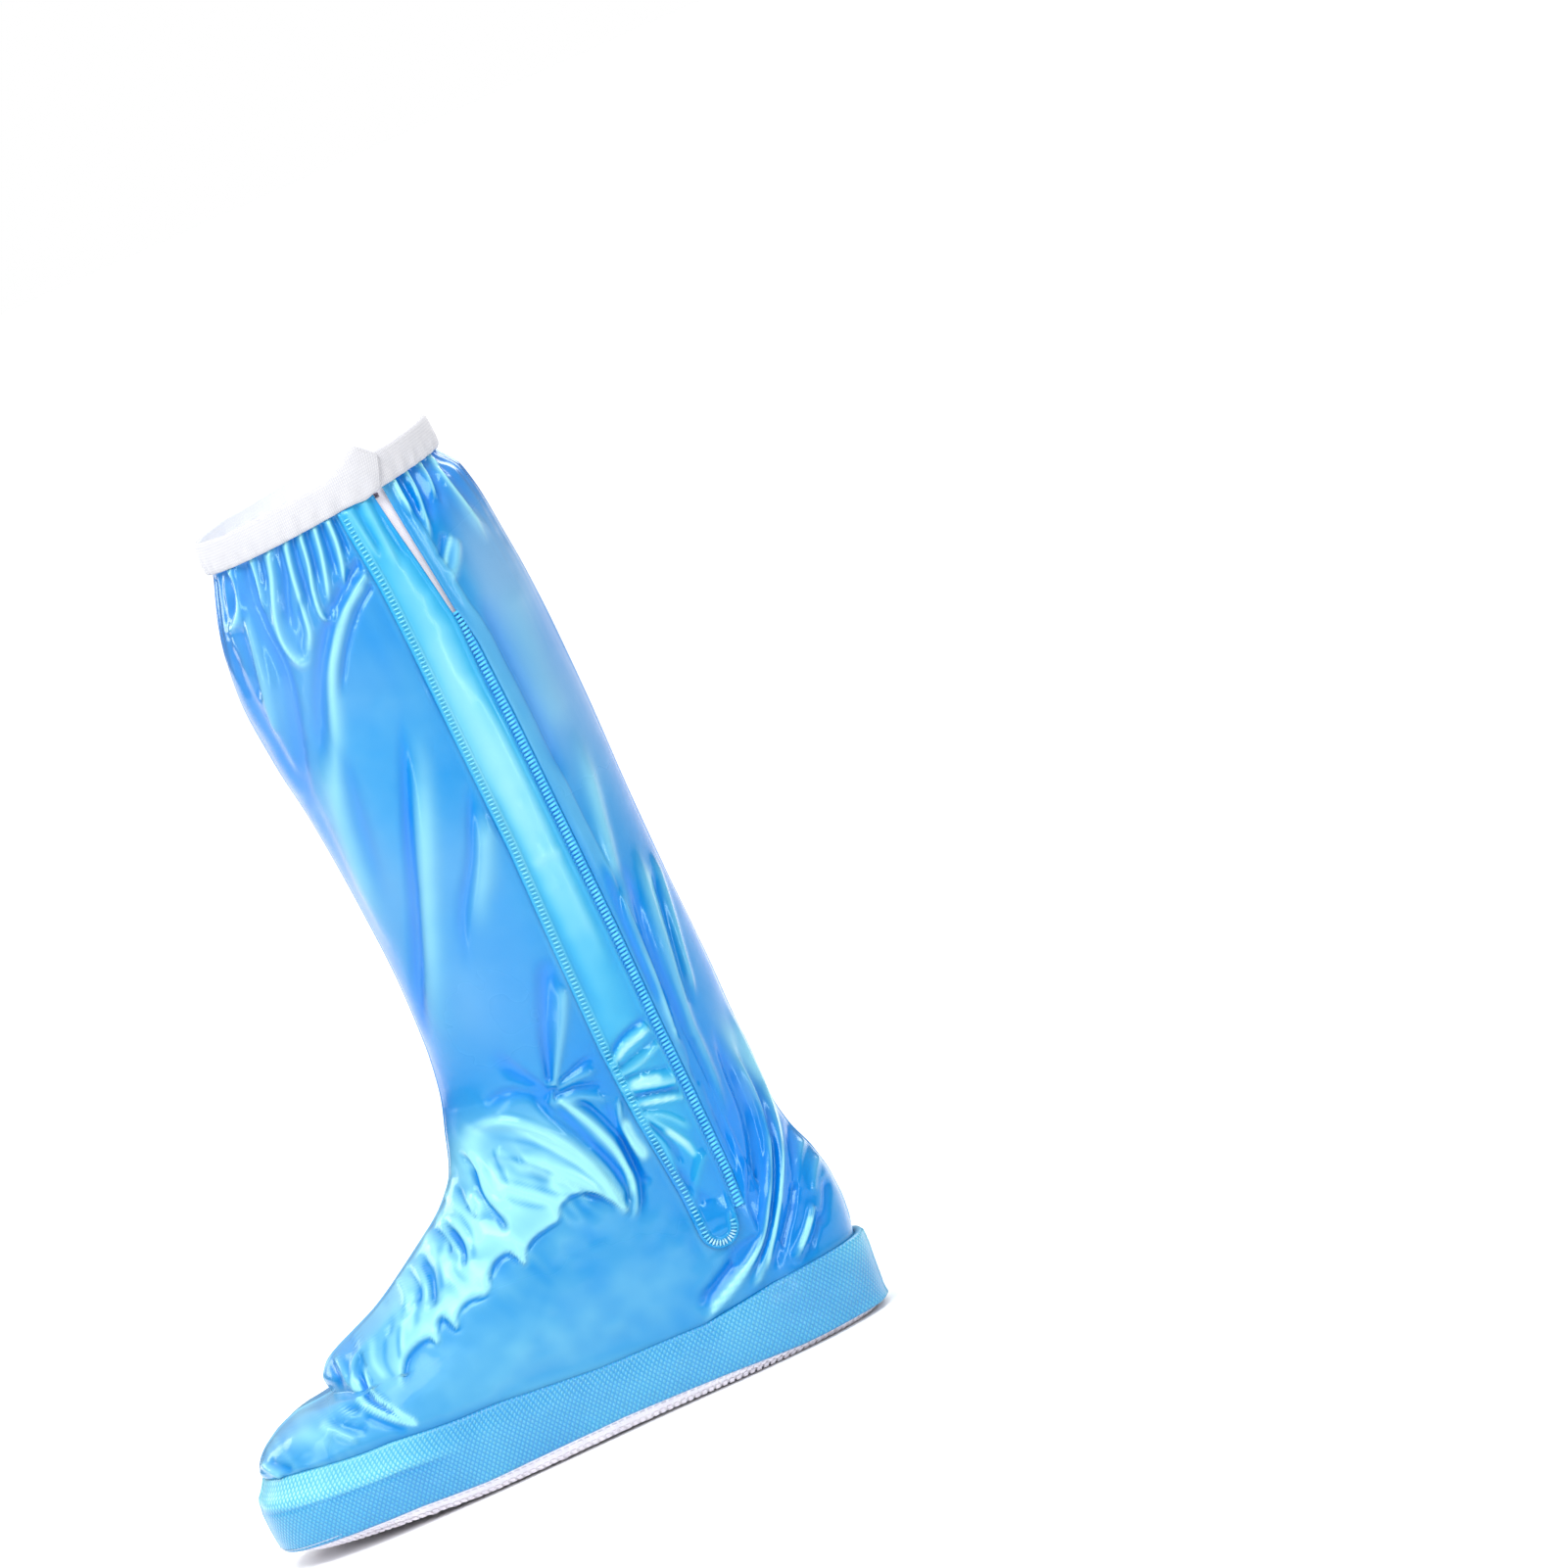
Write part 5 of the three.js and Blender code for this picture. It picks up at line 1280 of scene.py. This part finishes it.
# ---- stage, light and camera ----
bpy.ops.mesh.primitive_plane_add(size=14, location=(0, 0, -0.0004))
floor = bpy.context.object
floor.name = "floor"
floor_shader = Shader("pale_floor", 0.9, Specular_IOR_Level=0.1)
floor.data.materials.append(floor_shader.finish(
    floor_shader.ramp(floor_shader.noise(3), [(0.3, (0.95, 0.95, 0.955, 1)), (0.7, (0.97, 0.97, 0.972, 1))])))

world = bpy.data.worlds.new("studio")
bpy.context.scene.world = world
world.use_nodes = True
tree = world.node_tree
tree.nodes.clear()
out = tree.nodes.new("ShaderNodeOutputWorld")
pick = tree.nodes.new("ShaderNodeMixShader")
path = tree.nodes.new("ShaderNodeLightPath")
sky, backdrop = (tree.nodes.new("ShaderNodeBackground") for _ in range(2))
for light, socket in ((sky, 1), (backdrop, 2)):
    light.inputs["Color"].default_value = WHITE
    light.inputs["Strength"].default_value = 1
    tree.links.new(light.outputs[0], pick.inputs[socket])
# the room's light comes mostly from above, while the camera sees plain white
direction_in = tree.nodes.new("ShaderNodeTexCoord")
parts = tree.nodes.new("ShaderNodeSeparateXYZ")
fade = tree.nodes.new("ShaderNodeMapRange")
for key, value in (("From Min", 0.0), ("From Max", 1.0), ("To Min", 0.14), ("To Max", 1.75)):
    fade.inputs[key].default_value = value
tree.links.new(direction_in.outputs["Generated"], parts.inputs[0])
tree.links.new(parts.outputs["Z"], fade.inputs["Value"])
tree.links.new(fade.outputs["Result"], sky.inputs["Strength"])
tree.links.new(path.outputs["Is Camera Ray"], pick.inputs[0])
tree.links.new(pick.outputs[0], out.inputs[0])


def area_light(name, place, target, size, power, colour=(1, 1, 1)):
    data = bpy.data.lights.new(name, "AREA")
    data.shape = "RECTANGLE"
    data.size, data.size_y = size
    data.energy = power
    data.color = colour
    obj = bpy.data.objects.new(name, data)
    bpy.context.collection.objects.link(obj)
    obj.location = place
    obj.rotation_euler = (Vector(target) - Vector(place)).to_track_quat("-Z", "Y").to_euler()


area_light("top_softbox", (-0.35, -0.75, 1.35), (0.02, 0, 0.15), (0.9, 0.7), 12)
area_light("right_strip", (1.15, -1.75, 0.55), (0.06, 0, 0.25), (0.16, 1.5), 7)
area_light("left_softbox", (-1.7, -1.2, 0.75), (0, 0, 0.2), (0.3, 1.2), 6, (0.9, 0.95, 1.0))
area_light("rear_softbox", (0.9, 1.3, 1.0), (0.05, 0, 0.25), (0.8, 0.8), 7)
area_light("rear_left", (-1.3, 1.2, 0.9), (0, 0, 0.2), (0.7, 0.9), 6)

ROLL, TILT = math.radians(24.2), math.radians(7.0)
DISTANCE, VIEW_WIDTH = 8.0, 0.6982
VIEW_CENTRE = Vector((0.198, 0, 0.2306))
SENSOR = 36
across = Vector((1, 0, 0))
upward = Vector((0, math.sin(TILT), math.cos(TILT)))
backward = Vector((0, -math.cos(TILT), math.sin(TILT)))
right_axis = across * math.cos(ROLL) - upward * math.sin(ROLL)
up_axis = across * math.sin(ROLL) + upward * math.cos(ROLL)
camera_data = bpy.data.cameras.new("camera")
camera_data.sensor_width = SENSOR
camera_data.lens = SENSOR * DISTANCE / VIEW_WIDTH
camera_data.clip_end = 60
camera = bpy.data.objects.new("camera", camera_data)
bpy.context.collection.objects.link(camera)
matrix = Matrix((right_axis, up_axis, backward)).transposed().to_4x4()
matrix.translation = VIEW_CENTRE + backward * DISTANCE
camera.matrix_world = matrix
bpy.context.scene.camera = camera
bpy.context.scene.view_settings.view_transform = "Standard"
